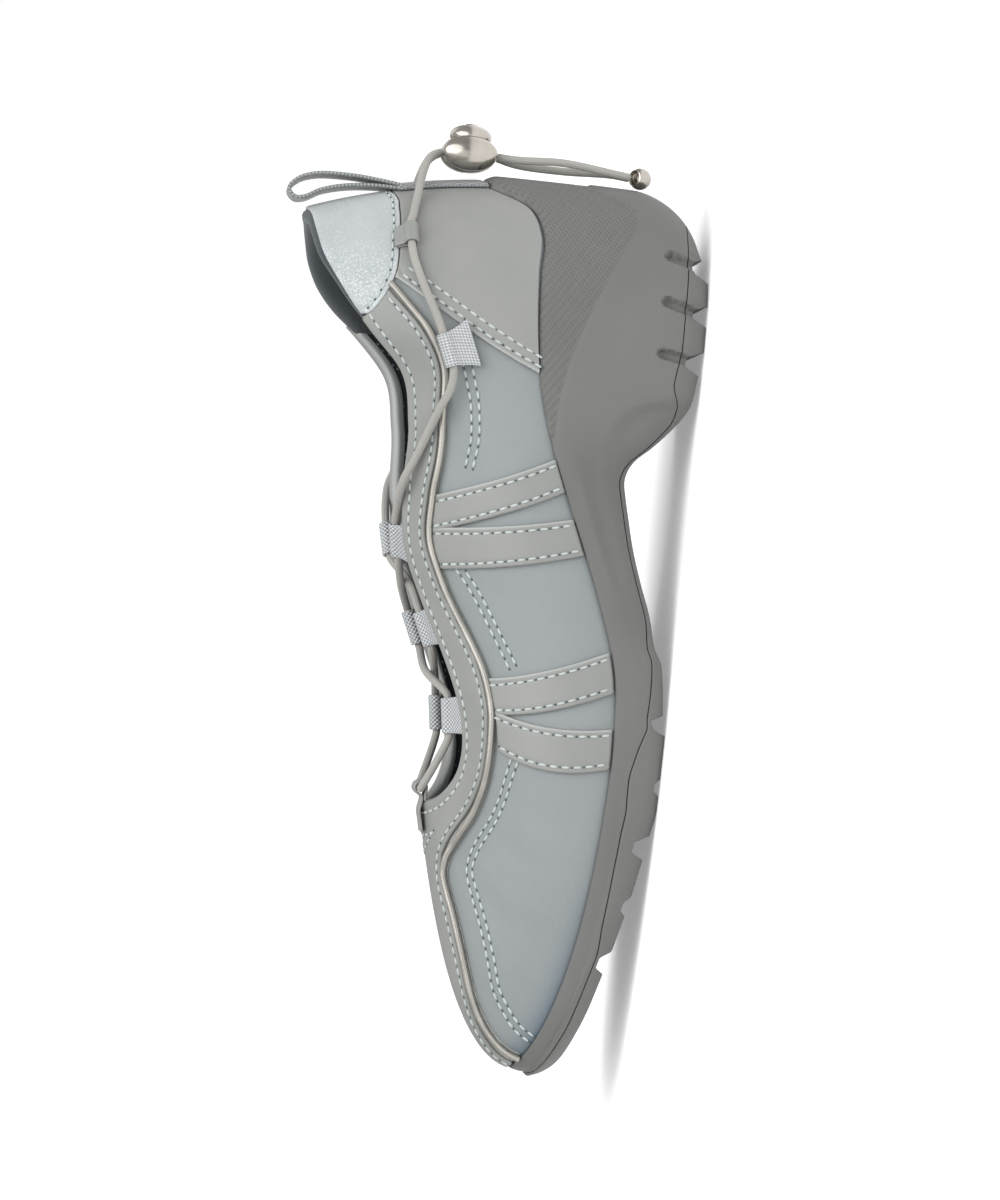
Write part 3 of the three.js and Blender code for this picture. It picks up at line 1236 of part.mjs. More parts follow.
put('lace_tail_lateral', tailSolid(1), CORD_LOOK);
put('lace_tail_medial', tailSolid(-1), CORD_LOOK);
const bead = beadCentre();
put('bead', ball(BEAD_DIAMETER / 2, BEAD_DIAMETER / 2, BEAD_DIAMETER / 2, bead.x, bead.y, bead.z), METAL_LOOK);

shoe.updateMatrixWorld(true);

export default shoe;
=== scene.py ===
import math

import bmesh
import bpy
import numpy as np
from mathutils import Matrix, Vector, kdtree


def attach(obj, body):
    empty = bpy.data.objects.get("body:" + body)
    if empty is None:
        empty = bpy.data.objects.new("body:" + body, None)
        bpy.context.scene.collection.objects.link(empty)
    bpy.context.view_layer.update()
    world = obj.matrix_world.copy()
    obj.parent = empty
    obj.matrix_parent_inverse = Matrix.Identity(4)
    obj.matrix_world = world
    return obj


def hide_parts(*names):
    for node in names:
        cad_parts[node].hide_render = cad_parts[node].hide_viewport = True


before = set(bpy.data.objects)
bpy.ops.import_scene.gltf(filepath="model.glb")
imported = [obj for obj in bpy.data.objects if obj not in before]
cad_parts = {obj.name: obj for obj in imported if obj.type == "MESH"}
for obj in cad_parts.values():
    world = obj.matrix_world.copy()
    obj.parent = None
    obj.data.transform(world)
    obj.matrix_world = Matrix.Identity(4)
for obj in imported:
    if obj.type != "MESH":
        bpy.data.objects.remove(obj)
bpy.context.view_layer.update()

# Camera, floor and light
# A pale floor, a soft light above the heel, weaker ones in front and behind, and a broad sun. The
# camera looks at the shoe's outer side through a long lens, a little from above, and is rolled so
# that the toe points down.
MM = 0.001
ORIGIN_ALONG = 46
CAMERA_PLACE = (92.0, 1497.2, 151.6)
CAMERA_AIM = (82.9, 0.0, 49.6)
CAMERA_ROLL = math.radians(6.5)
LENS = 150
LIGHT_AIM = (0.09, 0, 0.05)
SUN_STRENGTH = 1.3
SUN_SPREAD = math.radians(60)
SUN_FROM = (-0.25, 0.7, 0.8)
SKY_LOW = 0.3
SKY_HIGH = 0.62
FLOOR_REACH = 12.0
FLOOR_SHADE = 0.95
FLOOR_GLOW = 0.25
# Each light's name, place and size in metres, and its power in watts
LIGHTS = (
    ("light_above", (-0.30, 0.55, 1.50), 1.1, 7.0),
    ("light_front", (0.25, 1.70, 0.75), 1.3, 3.0),
    ("light_behind", (-0.60, -1.20, 1.10), 1.2, 3.0),
)


def shown(name, data):
    """A new object with its data, in the scene."""
    made = bpy.data.objects.new(name, data)
    bpy.context.collection.objects.link(made)
    return made


place = Vector(CAMERA_PLACE) * MM
back = (place - Vector(CAMERA_AIM) * MM).normalized()
upright = (Vector((0, 0, 1)) - back * back.z).normalized()
right = -math.sin(CAMERA_ROLL) * back.cross(upright) - math.cos(CAMERA_ROLL) * upright
above = back.cross(right)
camera_data = bpy.data.cameras.new("camera")
camera_data.lens = LENS
camera_data.clip_end = 50
camera = shown("camera", camera_data)
camera.matrix_world = Matrix((right, above, back)).transposed().to_4x4()
camera.matrix_world.translation = place
bpy.context.scene.camera = camera
bpy.context.scene.view_settings.view_transform = "Standard"

for name, spot, size, power in LIGHTS:
    light_data = bpy.data.lights.new(name, "AREA")
    light_data.size = size
    light_data.energy = power
    light = shown(name, light_data)
    light.location = spot
    light.rotation_euler = (Vector(LIGHT_AIM) - Vector(spot)).to_track_quat("-Z", "Y").to_euler()
sun_data = bpy.data.lights.new("light_soft", "SUN")
sun_data.energy = SUN_STRENGTH
sun_data.angle = SUN_SPREAD
sun = shown("light_soft", sun_data)
sun.rotation_euler = Vector(SUN_FROM).to_track_quat("Z", "Y").to_euler()


def node(tree, kind, inputs=None, **settings):
    """A shader node with its settings, and its inputs set or linked by name or number."""
    made = tree.nodes.new(kind)
    for key, value in settings.items():
        setattr(made, key, value)
    for key, value in (inputs or {}).items():
        if isinstance(value, bpy.types.NodeSocket):
            tree.links.new(value, made.inputs[key])
        else:
            made.inputs[key].default_value = value
    return made


def maths(tree, operation, *values):
    return node(tree, "ShaderNodeMath", dict(enumerate(values)), operation=operation).outputs[0]


def blended(tree, factor, first, second):
    """Two colours mixed by a factor."""
    made = node(tree, "ShaderNodeMix", {0: factor, 6: first, 7: second}, data_type="RGBA")
    return made.outputs[2]


def spread(tree, value, low, high, to_low=0.0, to_high=1.0):
    """A value mapped from one range to another, and kept inside it."""
    numbers = {"Value": value, 1: low, 2: high, 3: to_low, 4: to_high}
    return node(tree, "ShaderNodeMapRange", numbers).outputs[0]


def tint(red, green, blue):
    """A colour as it is seen on a screen, from 0 to 255, as Blender's linear colour."""
    seen = np.array([red, green, blue]) / 255
    linear = np.where(seen < 0.04045, seen / 12.92, ((seen + 0.055) / 1.055) ** 2.4)
    return (*(float(part) for part in linear), 1.0)


world = bpy.data.worlds.new("studio")
world.use_nodes = True
bpy.context.scene.world = world
sky = world.node_tree
sky.nodes.clear()
facing = node(sky, "ShaderNodeSeparateXYZ", {0: node(sky, "ShaderNodeTexCoord").outputs["Generated"]})
glow = spread(sky, facing.outputs[2], -0.3, 0.8, SKY_LOW, SKY_HIGH)
seen = maths(sky, "MAXIMUM", node(sky, "ShaderNodeLightPath").outputs["Is Camera Ray"], glow)
background = node(sky, "ShaderNodeBackground", {"Color": (1, 1, 1, 1), "Strength": seen})
node(sky, "ShaderNodeOutputWorld", {"Surface": background.outputs[0]})

floor_mesh = bpy.data.meshes.new("floor")
floor_corners = [(x * FLOOR_REACH, y * FLOOR_REACH, 0) for x, y in ((-1, -1), (1, -1), (1, 1), (-1, 1))]
floor_mesh.from_pydata(floor_corners, [], [(0, 1, 2, 3)])
floor = shown("floor", floor_mesh)
pale = bpy.data.materials.new("pale_floor")
pale.use_nodes = True
pale_shader = pale.node_tree.nodes["Principled BSDF"].inputs
pale_shader["Base Color"].default_value = (FLOOR_SHADE, FLOOR_SHADE, FLOOR_SHADE, 1)
pale_shader["Roughness"].default_value = 0.9
pale_shader["Emission Strength"].default_value = FLOOR_GLOW
floor_mesh.materials.append(pale)

# The last
# The shape that the shoe is built over. The sole's edge and the top line are closed curves, and
# the wall between them is a bulging curve at each place, as in the part's drawing.
LENGTH = 268
BALL_WIDTH = 84
HEEL_SEAT = 50
BALL_SEAT = 14.8
TOE_SEAT = 31
COLLAR_DEPTH = 70.4
INSTEP_DEPTH = 67.2
MEDIAL_LIFT = 2.6
HEEL_PEAK = 19
CUP_DEPTH = 4.8
TURN_IN = 1
FIT = 0.35
SOLE_LINE = {
    "at": [0, 0.025, 0.05, 0.08, 0.115, 0.16, 0.21, 0.27, 0.33, 0.4, 0.47, 0.54, 0.61, 0.68, 0.745, 0.81,
            0.865, 0.91, 0.945, 0.975, 1],
    "along": [0.0276, 0.0295, 0.0358, 0.05, 0.0776, 0.1231, 0.1791, 0.2463, 0.3134, 0.3918, 0.4701,
            0.5485, 0.6269, 0.7052, 0.7761, 0.8451, 0.9011, 0.9422, 0.9709, 0.9888, 0.9948],
    "lateral": [0, 0.067, 0.119, 0.186, 0.255, 0.338, 0.388, 0.426, 0.448, 0.46, 0.474, 0.505, 0.531,
            0.531, 0.5, 0.445, 0.388, 0.329, 0.257, 0.152, 0],
    "medial": [0, 0.067, 0.119, 0.186, 0.255, 0.34, 0.393, 0.429, 0.445, 0.44, 0.431, 0.431, 0.44, 0.448,
            0.443, 0.419, 0.381, 0.329, 0.257, 0.152, 0],
    "peak": [1, 0.95, 0.68, 0.21, 0, 0, 0, 0, 0, 0, 0, 0, 0, 0, 0, 0, 0, 0, 0, 0, 0],
}
SEAT_LINE = {
    "along": [0, 0.12, 0.179, 0.246, 0.313, 0.392, 0.47, 0.549, 0.627, 0.705, 0.776, 0.845, 0.901, 0.942,
            0.971, 0.995],
    "heel": [1, 1, 0.977, 0.909, 0.753, 0.497, 0.244, 0.05, 0, 0, 0, 0, 0, 0, 0, 0],
    "toe": [0, 0, 0, 0, 0, 0, 0, 0, 0, 0.025, 0.099, 0.228, 0.407, 0.605, 0.802, 1],
}
TOP_LINE = {
    "at": [0, 0.045, 0.09, 0.135, 0.17, 0.2, 0.225, 0.26, 0.32, 0.39, 0.45, 0.51, 0.57, 0.625, 0.69,
            0.76, 0.83, 0.895, 0.95, 1],
    "along": [0.0731, 0.0799, 0.0985, 0.1269, 0.153, 0.1772, 0.2015, 0.2369, 0.2985, 0.3694, 0.431,
            0.4888, 0.5466, 0.5951, 0.6362, 0.6698, 0.694, 0.7097, 0.7157, 0.7164],
    "lateral": [0, 0.1, 0.179, 0.238, 0.271, 0.295, 0.312, 0.31, 0.283, 0.226, 0.188, 0.19, 0.229, 0.271,
            0.274, 0.243, 0.195, 0.131, 0.064, 0],
    "medial": [0, 0.1, 0.183, 0.248, 0.286, 0.314, 0.333, 0.333, 0.312, 0.264, 0.226, 0.219, 0.257,
            0.312, 0.324, 0.293, 0.233, 0.157, 0.076, 0],
    "back": [1, 0.987, 0.972, 0.944, 0.902, 0.859, 0.809, 0.25, 0, 0, 0, 0, 0, 0, 0, 0, 0, 0, 0, 0],
    "front": [0, 0, 0, 0, 0, 0, 0, 0.705, 1.01, 1, 0.973, 0.89, 0.791, 0.722, 0.688, 0.688, 0.715, 0.754,
            0.785, 0.8],
    "lift": [0, 0.31, 0.54, 1, 1.54, 1.38, 0.77, 0.96, 1.08, 0.81, 0.69, 0.92, 1.19, 1.15, 1, 0.92, 0.77,
            0.54, 0.23, 0],
}
WALL_SHAPE = {
    "at": [0, 0.06, 0.12, 0.2, 0.3, 0.42, 0.52, 0.62, 0.7, 0.8, 0.88, 0.94, 1],
    "lateral": [-6, -3, 5, 13, 20, 22, 20, 19, 17, 15, 9, 0, -8],
    "medial": [-6, -3, 5, 13, 20, 22, 18, 15, 13, 12, 7, 0, -8],
    "low": [0.36, 0.36, 0.36, 0.36, 0.36, 0.4, 0.4, 0.42, 0.42, 0.38, 0.32, 0.24, 0.18],
    "lean": [21, 22, 24, 27, 36, 46, 50, 55, 59, 65.5, 71.5, 75, 77],
    "high": [0.35, 0.35, 0.35, 0.35, 0.35, 0.36, 0.38, 0.4, 0.41, 0.42, 0.44, 0.46, 0.47],
}
# Soft troughs and ridges of the worn-in cloth and leather: place as at and up, length and width in
# millimetres, turn from the sole's line in degrees, and depth in millimetres, under 0 for a ridge
CREASES = (
    (0.845, 0.60, 26, 5.0, 62, 0.35),
    (0.800, 0.45, 22, 4.0, 70, -0.25),
    (0.745, 0.40, 20, 4.5, 76, 0.30),
    (0.690, 0.30, 16, 4.0, 84, 0.18),
    (0.480, 0.45, 18, 4.0, 96, 0.22),
    (0.300, 0.35, 20, 5.0, 100, 0.25),
    (0.270, 0.52, 14, 4.0, 60, -0.20),
    (1.150, 0.60, 26, 5.0, -62, 0.35),
    (1.210, 0.42, 22, 4.0, -72, 0.25),
    (1.300, 0.36, 18, 4.0, -84, 0.20),
    (1.540, 0.45, 18, 4.5, -95, 0.25),
    (1.700, 0.38, 20, 5.0, -100, 0.25),
)
# The wall's length from heel to toe and its usual height, which turn at and up into millimetres
GIRTH = 300
DEPTH = 62
WALL_STEP = 0.004
NO_TURN_IN = 0.02


def column(table, key):
    return np.array(table[key], float)


def all_round(half):
    """Places from the heel along the outer side to the toe, and back along the inner side."""
    return np.concatenate([half, 2 - half[-2:0:-1]])


def closed_curve(table, outer, inner=None):
    """A smooth closed curve round the shoe, out along one row of values and back along another."""
    inner = outer if inner is None else inner
    knots = all_round(column(table, "at"))
    values = np.concatenate([outer, inner[-2:0:-1]])
    gap = np.append(np.diff(knots), 2 - knots[-1])
    rise = (np.roll(values, -1) - values) / gap
    slope = (np.roll(rise, 1) * gap + rise * np.roll(gap, 1)) / (gap + np.roll(gap, 1))

    def curve(at):
        where = np.mod(np.asarray(at, float), 2)
        span = np.clip(np.searchsorted(knots, where, "right") - 1, 0, len(knots) - 1)
        after = (span + 1) % len(knots)
        t = (where - knots[span]) / gap[span]
        s = 1 - t
        ends = values[span] * (1 + 2 * t) * s * s + values[after] * t * t * (3 - 2 * t)
        return ends + gap[span] * (slope[span] * t * s * s - slope[after] * t * t * s)

    return curve


def eased(knots, values):
    """A smooth open curve through a table's column that never swings past its points."""
    knots = np.array(knots, float)
    values = np.array(values, float)
    gap = np.diff(knots)
    rise = np.diff(values) / gap
    slope = np.zeros(len(knots))
    same = rise[1:] * rise[:-1] > 0
    slope[1:-1][same] = 2 * rise[1:][same] * rise[:-1][same] / (rise[1:] + rise[:-1])[same]

    def curve(where):
        place = np.clip(np.asarray(where, float), knots[0], knots[-1])
        span = np.clip(np.searchsorted(knots, place, "right") - 1, 0, len(gap) - 1)
        t = (place - knots[span]) / gap[span]
        s = 1 - t
        ends = values[span] * (1 + 2 * t) * s * s + values[span + 1] * t * t * (3 - 2 * t)
        return ends + gap[span] * (slope[span] * t * s * s - slope[span + 1] * t * t * s)

    return curve


def along_shoe(table, key):
    """A table's column as a smooth curve of the place along the shoe."""
    return eased(column(table, "along") * LENGTH, table[key])


heel_share = along_shoe(SEAT_LINE, "heel")
toe_share = along_shoe(SEAT_LINE, "toe")


def seat_height(x):
    return BALL_SEAT + heel_share(x) * (HEEL_SEAT - BALL_SEAT) + toe_share(x) * (TOE_SEAT - BALL_SEAT)


def across_shoe(table):
    """A table's half widths as a smooth closed curve, more than 0 on the outer side."""
    return closed_curve(table, column(table, "lateral") * BALL_WIDTH, column(table, "medial") * -BALL_WIDTH)


sole_along = column(SOLE_LINE, "along") * LENGTH
foot_x = closed_curve(SOLE_LINE, sole_along)
foot_y = across_shoe(SOLE_LINE)
foot_z = closed_curve(SOLE_LINE, seat_height(sole_along) + column(SOLE_LINE, "peak") * HEEL_PEAK)
collar_high = column(TOP_LINE, "back") * (HEEL_SEAT + COLLAR_DEPTH)
top_high = collar_high + column(TOP_LINE, "front") * (BALL_SEAT + INSTEP_DEPTH)
top_x = closed_curve(TOP_LINE, column(TOP_LINE, "along") * LENGTH)
top_y = across_shoe(TOP_LINE)
top_z = closed_curve(TOP_LINE, top_high, top_high + column(TOP_LINE, "lift") * MEDIAL_LIFT)
lean_out = closed_curve(WALL_SHAPE, column(WALL_SHAPE, "lateral"), column(WALL_SHAPE, "medial"))
lean_in = closed_curve(WALL_SHAPE, column(WALL_SHAPE, "lean"))
low_pull = closed_curve(WALL_SHAPE, column(WALL_SHAPE, "low"))
high_pull = closed_curve(WALL_SHAPE, column(WALL_SHAPE, "high"))


def unit(vectors):
    return vectors / np.maximum(np.linalg.norm(vectors, axis=-1, keepdims=True), 1e-9)


def foot_point(at):
    return np.stack([foot_x(at), foot_y(at), foot_z(at)], -1)


def plan_normal(at):
    """The plan's outward direction at the sole's edge."""
    dx = foot_x(at + WALL_STEP) - foot_x(at - WALL_STEP)
    dy = foot_y(at + WALL_STEP) - foot_y(at - WALL_STEP)
    return unit(np.stack([-dy, dx, np.zeros_like(dx)], -1))


def wall_point(at, up):
    """A point of the last's wall; below the sole's edge it goes down into the sole's cup."""
    at, up = np.broadcast_arrays(np.asarray(at, float), np.asarray(up, float))
    foot = foot_point(at)
    top = np.stack([top_x(at), top_y(at), top_z(at)], -1)
    reach = np.linalg.norm(top - foot, axis=-1, keepdims=True)
    flat = top - foot
    flat[..., 2] = 0
    flat = unit(flat)
    upward = np.array([0.0, 0.0, 1.0])
    low = np.radians(lean_out(at))[..., None]
    high = np.radians(lean_in(at))[..., None]
    pull = reach * low_pull(at)[..., None]
    first = foot - flat * np.sin(low) * pull + upward * np.cos(low) * pull
    pull = reach * high_pull(at)[..., None]
    second = top - flat * np.sin(high) * pull - upward * np.cos(high) * pull
    t = np.maximum(up, 0)[..., None]
    s = 1 - t
    wall = foot * s ** 3 + first * (3 * s * s * t) + second * (3 * s * t * t) + top * t ** 3
    under = np.minimum(up, 0)
    drop = foot[..., 2] - (seat_height(foot[..., 0]) - CUP_DEPTH) - FIT
    wall[..., 2] += under * drop
    return wall + plan_normal(at) * (under * TURN_IN)[..., None]


def wall_normal(at, up):
    """The wall's outward direction; below the sole's edge it is the plan's own."""
    at, up = np.broadcast_arrays(np.asarray(at, float), np.asarray(up, float))
    height = np.maximum(up, WALL_STEP)
    across = wall_point(at + WALL_STEP, height) - wall_point(at - WALL_STEP, height)
    rise = wall_point(at, height + WALL_STEP) - wall_point(at, height - WALL_STEP)
    normal = unit(np.cross(rise, across))
    plan = plan_normal(at)
    share = np.clip(-up / NO_TURN_IN, 0, 1)[..., None]
    return unit(normal * (1 - share) + plan * share)


def crease_depth(at, up):
    """How far the listed creases move the wall at a place."""
    moved = np.zeros(np.broadcast(at, up).shape)
    for middle, level_up, long, wide, turn, depth in CREASES:
        u = (at - middle) * GIRTH
        v = (up - level_up) * DEPTH
        c, s = math.cos(math.radians(turn)), math.sin(math.radians(turn))
        along, over = u * c + v * s, v * c - u * s
        moved -= depth * np.exp(-(along / long) ** 2 - (over / wide) ** 2)
    return moved


def off_wall(at, up, out):
    """A point held out from the wall, creases and all."""
    at, up = np.broadcast_arrays(np.asarray(at, float), np.asarray(up, float))
    out = np.asarray(out, float) + crease_depth(at, up)
    return wall_point(at, up) + wall_normal(at, up) * out[..., None]


# Making a mesh
# Each piece is made of grids of points that are welded where they meet. A grid also has its own
# map, in metres along and up the shoe, which the weaves and the grain follow.
WELD = 0.01
END_ROUND = 0.6


class Form:
    """The grids of points that make up one piece."""

    def __init__(self, name):
        self.name = name
        self.points, self.faces, self.maps, self.slots, self.tones = [], [], [], [], []
        self.count = 0

    def patch(self, grid, chart=None, slot=0, tone=None, wrap=False):
        """Adds a grid of points; wrap joins its last row to its first."""
        rows, columns = grid.shape[:2]
        numbers = np.arange(rows * columns).reshape(rows, columns) + self.count
        if chart is None:
            chart = chart_of(grid, wrap)
        if wrap:
            numbers = np.vstack([numbers, numbers[:1]])
        corners = [(0, 0), (1, 0), (1, 1), (0, 1)]
        cut = [(slice(i, numbers.shape[0] - 1 + i), slice(j, numbers.shape[1] - 1 + j)) for i, j in corners]
        faces = np.stack([numbers[c] for c in cut], -1).reshape(-1, 4)
        self.faces.append(faces)
        self.maps.append(np.stack([chart[c] for c in cut], 2).reshape(-1, 4, 2))
        self.slots.append(np.full(len(faces), slot))
        self.points.append(grid.reshape(-1, 3))
        tone = np.zeros((rows, columns)) if tone is None else tone
        self.tones.append(np.broadcast_to(tone, (rows, columns)).reshape(-1))
        self.count += rows * columns

    def make(self, *finishes, sharp=None):
        """The welded mesh as a smooth object, its faces pointing out."""
        points = np.concatenate(self.points) - np.array([ORIGIN_ALONG, 0, 0])
        mesh = bpy.data.meshes.new(self.name)
        mesh.from_pydata((points * MM).tolist(), [], np.concatenate(self.faces).tolist())
        mesh.uv_layers.new(name="chart").data.foreach_set("uv", np.concatenate(self.maps).reshape(-1))
        mesh.polygons.foreach_set("material_index", np.concatenate(self.slots).astype(np.int32))
        tones = mesh.attributes.new("tone", "FLOAT", "POINT")
        tones.data.foreach_set("value", np.concatenate(self.tones).astype(np.float32))
        work = bmesh.new()
        work.from_mesh(mesh)
        bmesh.ops.remove_doubles(work, verts=work.verts, dist=WELD * MM)
        bmesh.ops.recalc_face_normals(work, faces=work.faces)
        work.to_mesh(mesh)
        work.free()
        mesh.polygons.foreach_set("use_smooth", np.ones(len(mesh.polygons), bool))
        if sharp:
            mesh.set_sharp_from_angle(angle=math.radians(sharp))
        made = shown(self.name, mesh)
        for finish in finishes:
            mesh.materials.append(finish)
        return made


def chart_of(grid, wrap=False):
    """A grid's own map: the way along its rows and up its columns, in metres."""
    looped = np.concatenate([grid, grid[:1]]) if wrap else grid
    along = np.linalg.norm(np.diff(looped, axis=0), axis=-1).mean(axis=1)
    over = np.linalg.norm(np.diff(looped, axis=1), axis=-1)
    u = np.append(0, np.cumsum(along))[:, None] + np.zeros(looped.shape[1])
    v = np.concatenate([np.zeros((looped.shape[0], 1)), np.cumsum(over, axis=1)], axis=1)
    return np.stack([u, v], -1) * MM


def smooth_path(points, each=8):
    """A smooth curve through given points, evenly cut."""
    points = np.array(points, float)
    gap = np.maximum(np.linalg.norm(np.diff(points, axis=0), axis=1), 1e-6) ** 0.5
    knots = np.append(0, np.cumsum(gap))
    slope = np.zeros_like(points)
    rise = np.diff(points, axis=0) / gap[:, None]
    slope[1:-1] = (rise[:-1] * gap[1:, None] + rise[1:] * gap[:-1, None]) / (gap[:-1] + gap[1:])[:, None]
    slope[0], slope[-1] = rise[0], rise[-1]
    made = []
    for i, width in enumerate(gap):
        t = (np.arange(each) / each)[:, None]
        s = 1 - t
        ends = points[i] * (1 + 2 * t) * s * s + points[i + 1] * t * t * (3 - 2 * t)
        made.append(ends + width * (slope[i] * t * s * s - slope[i + 1] * t * t * s))
    return np.concatenate(made + [points[-1:]])


def even_path(path, gap):
    """A path cut again into equal steps of about the given length."""
    steps = np.append(0, np.cumsum(np.linalg.norm(np.diff(path, axis=0), axis=1)))
    cuts = np.linspace(0, steps[-1], max(int(round(steps[-1] / gap)), 2) + 1)
    return np.stack([np.interp(cuts, steps, path[:, k]) for k in range(path.shape[1])], -1)


def frames_along(path):
    """Two directions across a path that don't twist, at each of its points."""
    way = unit(np.gradient(path, axis=0))
    side = np.cross(way[0], np.array([0.0, 0.0, 1.0]))
    side = unit(side if np.linalg.norm(side) > 0.1 else np.cross(way[0], np.array([0.0, 1.0, 0.0])))
    sides = [side]
    for step in way[1:]:
        side = unit(sides[-1] - step * (sides[-1] @ step))
        sides.append(side)
    sides = np.array(sides)
    return sides, np.cross(sides, way)


def closed_tube(form, path, radius, sides=14):
    """A tube along a path, with rounded ends."""
    first, second = frames_along(path)
    turn = np.linspace(0, 2 * math.pi, sides + 1)
    spokes = first[:, None] * np.cos(turn)[:, None] + second[:, None] * np.sin(turn)[:, None]
    form.patch(path[:, None] + spokes * radius)
    for end, next_one in ((0, 1), (-1, -2)):
        onward = unit(path[end] - path[next_one]) * radius * END_ROUND
        ring = spokes[end] * radius
        turns = np.linspace(0, math.pi / 2, 4)
        form.patch(np.array([path[end] + ring * math.cos(t) + onward * math.sin(t) for t in turns]))


# Lace and its tails
# One round elastic cord, 2.4 mm thick, in a fine braid of polyester over rubber. It runs from the
# lock at the heel through keepers and loops on both sides, crosses the throat twice on its way to
# the tunnel at the front and twice on its way back; its two ends hang from the lock into the bead.
LEATHER = 1.1
HEEL_TAPE = 1.3
RIM_WIDTH = 2.4
HEEL_ROLL = 20
LACE_RADIUS = 1.2
LOOP_WIDTH = 10.5
SIDE_LOOP_WIDTH = 10
KEEPER_WIDTH = 7
TUNNEL_WIDTH = 13
LOCK_HEIGHT = 16.8
LOCK_DEPTH = 10.6
BEAD_DIAMETER = 6.6
FITTING_WIDTHS = {"side_loop": SIDE_LOOP_WIDTH, "keeper": KEEPER_WIDTH}
LOCK_OFF = 2.6
LOCK_RAISE = 5
HEEL_RIM = 2.2
BEAD_OFF = 0.5
BEAD_ASIDE = -1.5
BEAD_RAISE = 1.8
TAIL_STEP = 1.6
LACE_STEP = 1.1
LACE_SIDES = 12
HOLD_STEP = 0.015
ENTRY = 0.6
STRAIGHT = 1.5
CORD_GREY = tint(176, 175, 170)
CORD_DARK = tint(143, 141, 136)
LACE_RUN = {
    "at": [0.084, 0.106, 0.132, 0.16, 0.192, 0.213, 0.243, 0.279, 0.3, 0.322, 0.355, 0.38],
    "up": [0.535, 0.572, 0.6, 0.607, 0.587, 0.571, 0.577, 0.64, 0.722, 0.815, 0.91, 0.962],
    "out": [2.67, 2.75, 2.83, 2.75, 2.67, 3, 3.5, 3.08, 3.92, 3, 2.83, 3.67],
    "hold": ["", "", "keeper", "", "", "", "side_loop", "", "", "", "", ""],
    "slope": [0.62, 0.62, 0.45, 0, 0, 0, 0.55, 0, 0, 0, 0, 0],
}
LACE_THROAT = {
    "name": ["rear_lateral", "", "middle_medial", "", "front_lateral", "tunnel", "front_medial", "",
            "middle_lateral", "", "rear_medial"],
    "along": [0.427, 0.474, 0.522, 0.568, 0.615, 0.699, 0.615, 0.568, 0.522, 0.474, 0.427],
    "side": [1, -1, -1, -1, 1, 1, -1, 1, 1, 1, -1],
    "across": [0.125, 0.006, 0.155, 0.006, 0.185, 0, 0.238, 0.006, 0.13, 0.006, 0.14],
    "up": [1.012, 0.974, 0.902, 0.849, 0.756, 0.82, 0.778, 0.815, 0.874, 0.94, 1.032],
    "at": [0.447, 0, 0.546, 0, 0.656, 0, 0.656, 0, 0.546, 0, 0.447],
    "turn": [-24, 0, 0, 0, 2, -90, 178, 0, 180, 0, -156],
    "fall": [0.2, 0, 0.45, 0, 0.15, 0, -0.15, 0, -0.45, 0, -0.2],
}


def effect(name, inputs, outputs):
    """A new shader node group, with its own inputs and outputs."""
    tree = bpy.data.node_groups.new(name, "ShaderNodeTree")
    for label, kind, value in inputs:
        socket = tree.interface.new_socket(label, in_out="INPUT", socket_type="NodeSocket" + kind)
        socket.default_value = value
    for label in outputs:
        tree.interface.new_socket(label, in_out="OUTPUT", socket_type="NodeSocketFloat")
    return tree, tree.nodes.new("NodeGroupInput").outputs, tree.nodes.new("NodeGroupOutput").inputs


def placed(tree, group, inputs):
    """A node group set into a material."""
    made = tree.nodes.new("ShaderNodeGroup")
    made.node_tree = group
    for key, value in inputs.items():
        if isinstance(value, bpy.types.NodeSocket):
            tree.links.new(value, made.inputs[key])
        else:
            made.inputs[key].default_value = value
    return made.outputs


# Weave: two sets of threads, each given by its count to the metre along and up the map
weave, given, result = effect(
    "weave",
    [("Map", "Vector", (0, 0, 0)), ("Warp", "Vector", (1000, 0, 0)), ("Weft", "Vector", (0, 1000, 0))],
    ["Height"],
)
waves = []
for threads in ("Warp", "Weft"):
    both = {0: given["Map"], 1: given[threads]}
    turns = node(weave, "ShaderNodeVectorMath", both, operation="DOT_PRODUCT").outputs["Value"]
    waves.append(maths(weave, "SINE", maths(weave, "MULTIPLY", turns, 2 * math.pi)))
crossing = maths(weave, "MULTIPLY_ADD", maths(weave, "MULTIPLY", waves[0], waves[1]), 0.5, 0.5)
weave.links.new(crossing, result["Height"])

# Grain: fine pebbles broken up by a wavy skin, and slow patches for the colour
grain, given, result = effect(
    "grain",
    [("Place", "Vector", (0, 0, 0)), ("Size", "Float", 0.001), ("Patches", "Float", 0.02)],
    ["Height", "Patch"],
)
fineness = maths(grain, "DIVIDE", 1.0, given["Size"])
fine_place = {"Vector": given["Place"], "Scale": fineness}
bent = node(grain, "ShaderNodeTexNoise", {**fine_place, "Detail": 2.0})
pebble = node(grain, "ShaderNodeTexVoronoi", fine_place, feature="SMOOTH_F1")
mixed = maths(grain, "MULTIPLY_ADD", bent.outputs["Fac"], 0.5, pebble.outputs["Distance"])
grain.links.new(mixed, result["Height"])
slow = maths(grain, "DIVIDE", 1.0, given["Patches"])
patchy = node(grain, "ShaderNodeTexNoise", {"Vector": given["Place"], "Scale": slow, "Detail": 4.0})
grain.links.new(spread(grain, patchy.outputs["Fac"], 0.3, 0.7), result["Patch"])


def finish_for(name, roughness, **shader_inputs):
    """A new material with its shader's own values set; gives it, its tree and its shader's inputs."""
    made = bpy.data.materials.new(name)
    made.use_nodes = True
    shader = made.node_tree.nodes["Principled BSDF"].inputs
    shader["Roughness"].default_value = roughness
    for key, value in shader_inputs.items():
        shader[key.replace("_", " ")].default_value = value
    return made, made.node_tree, shader


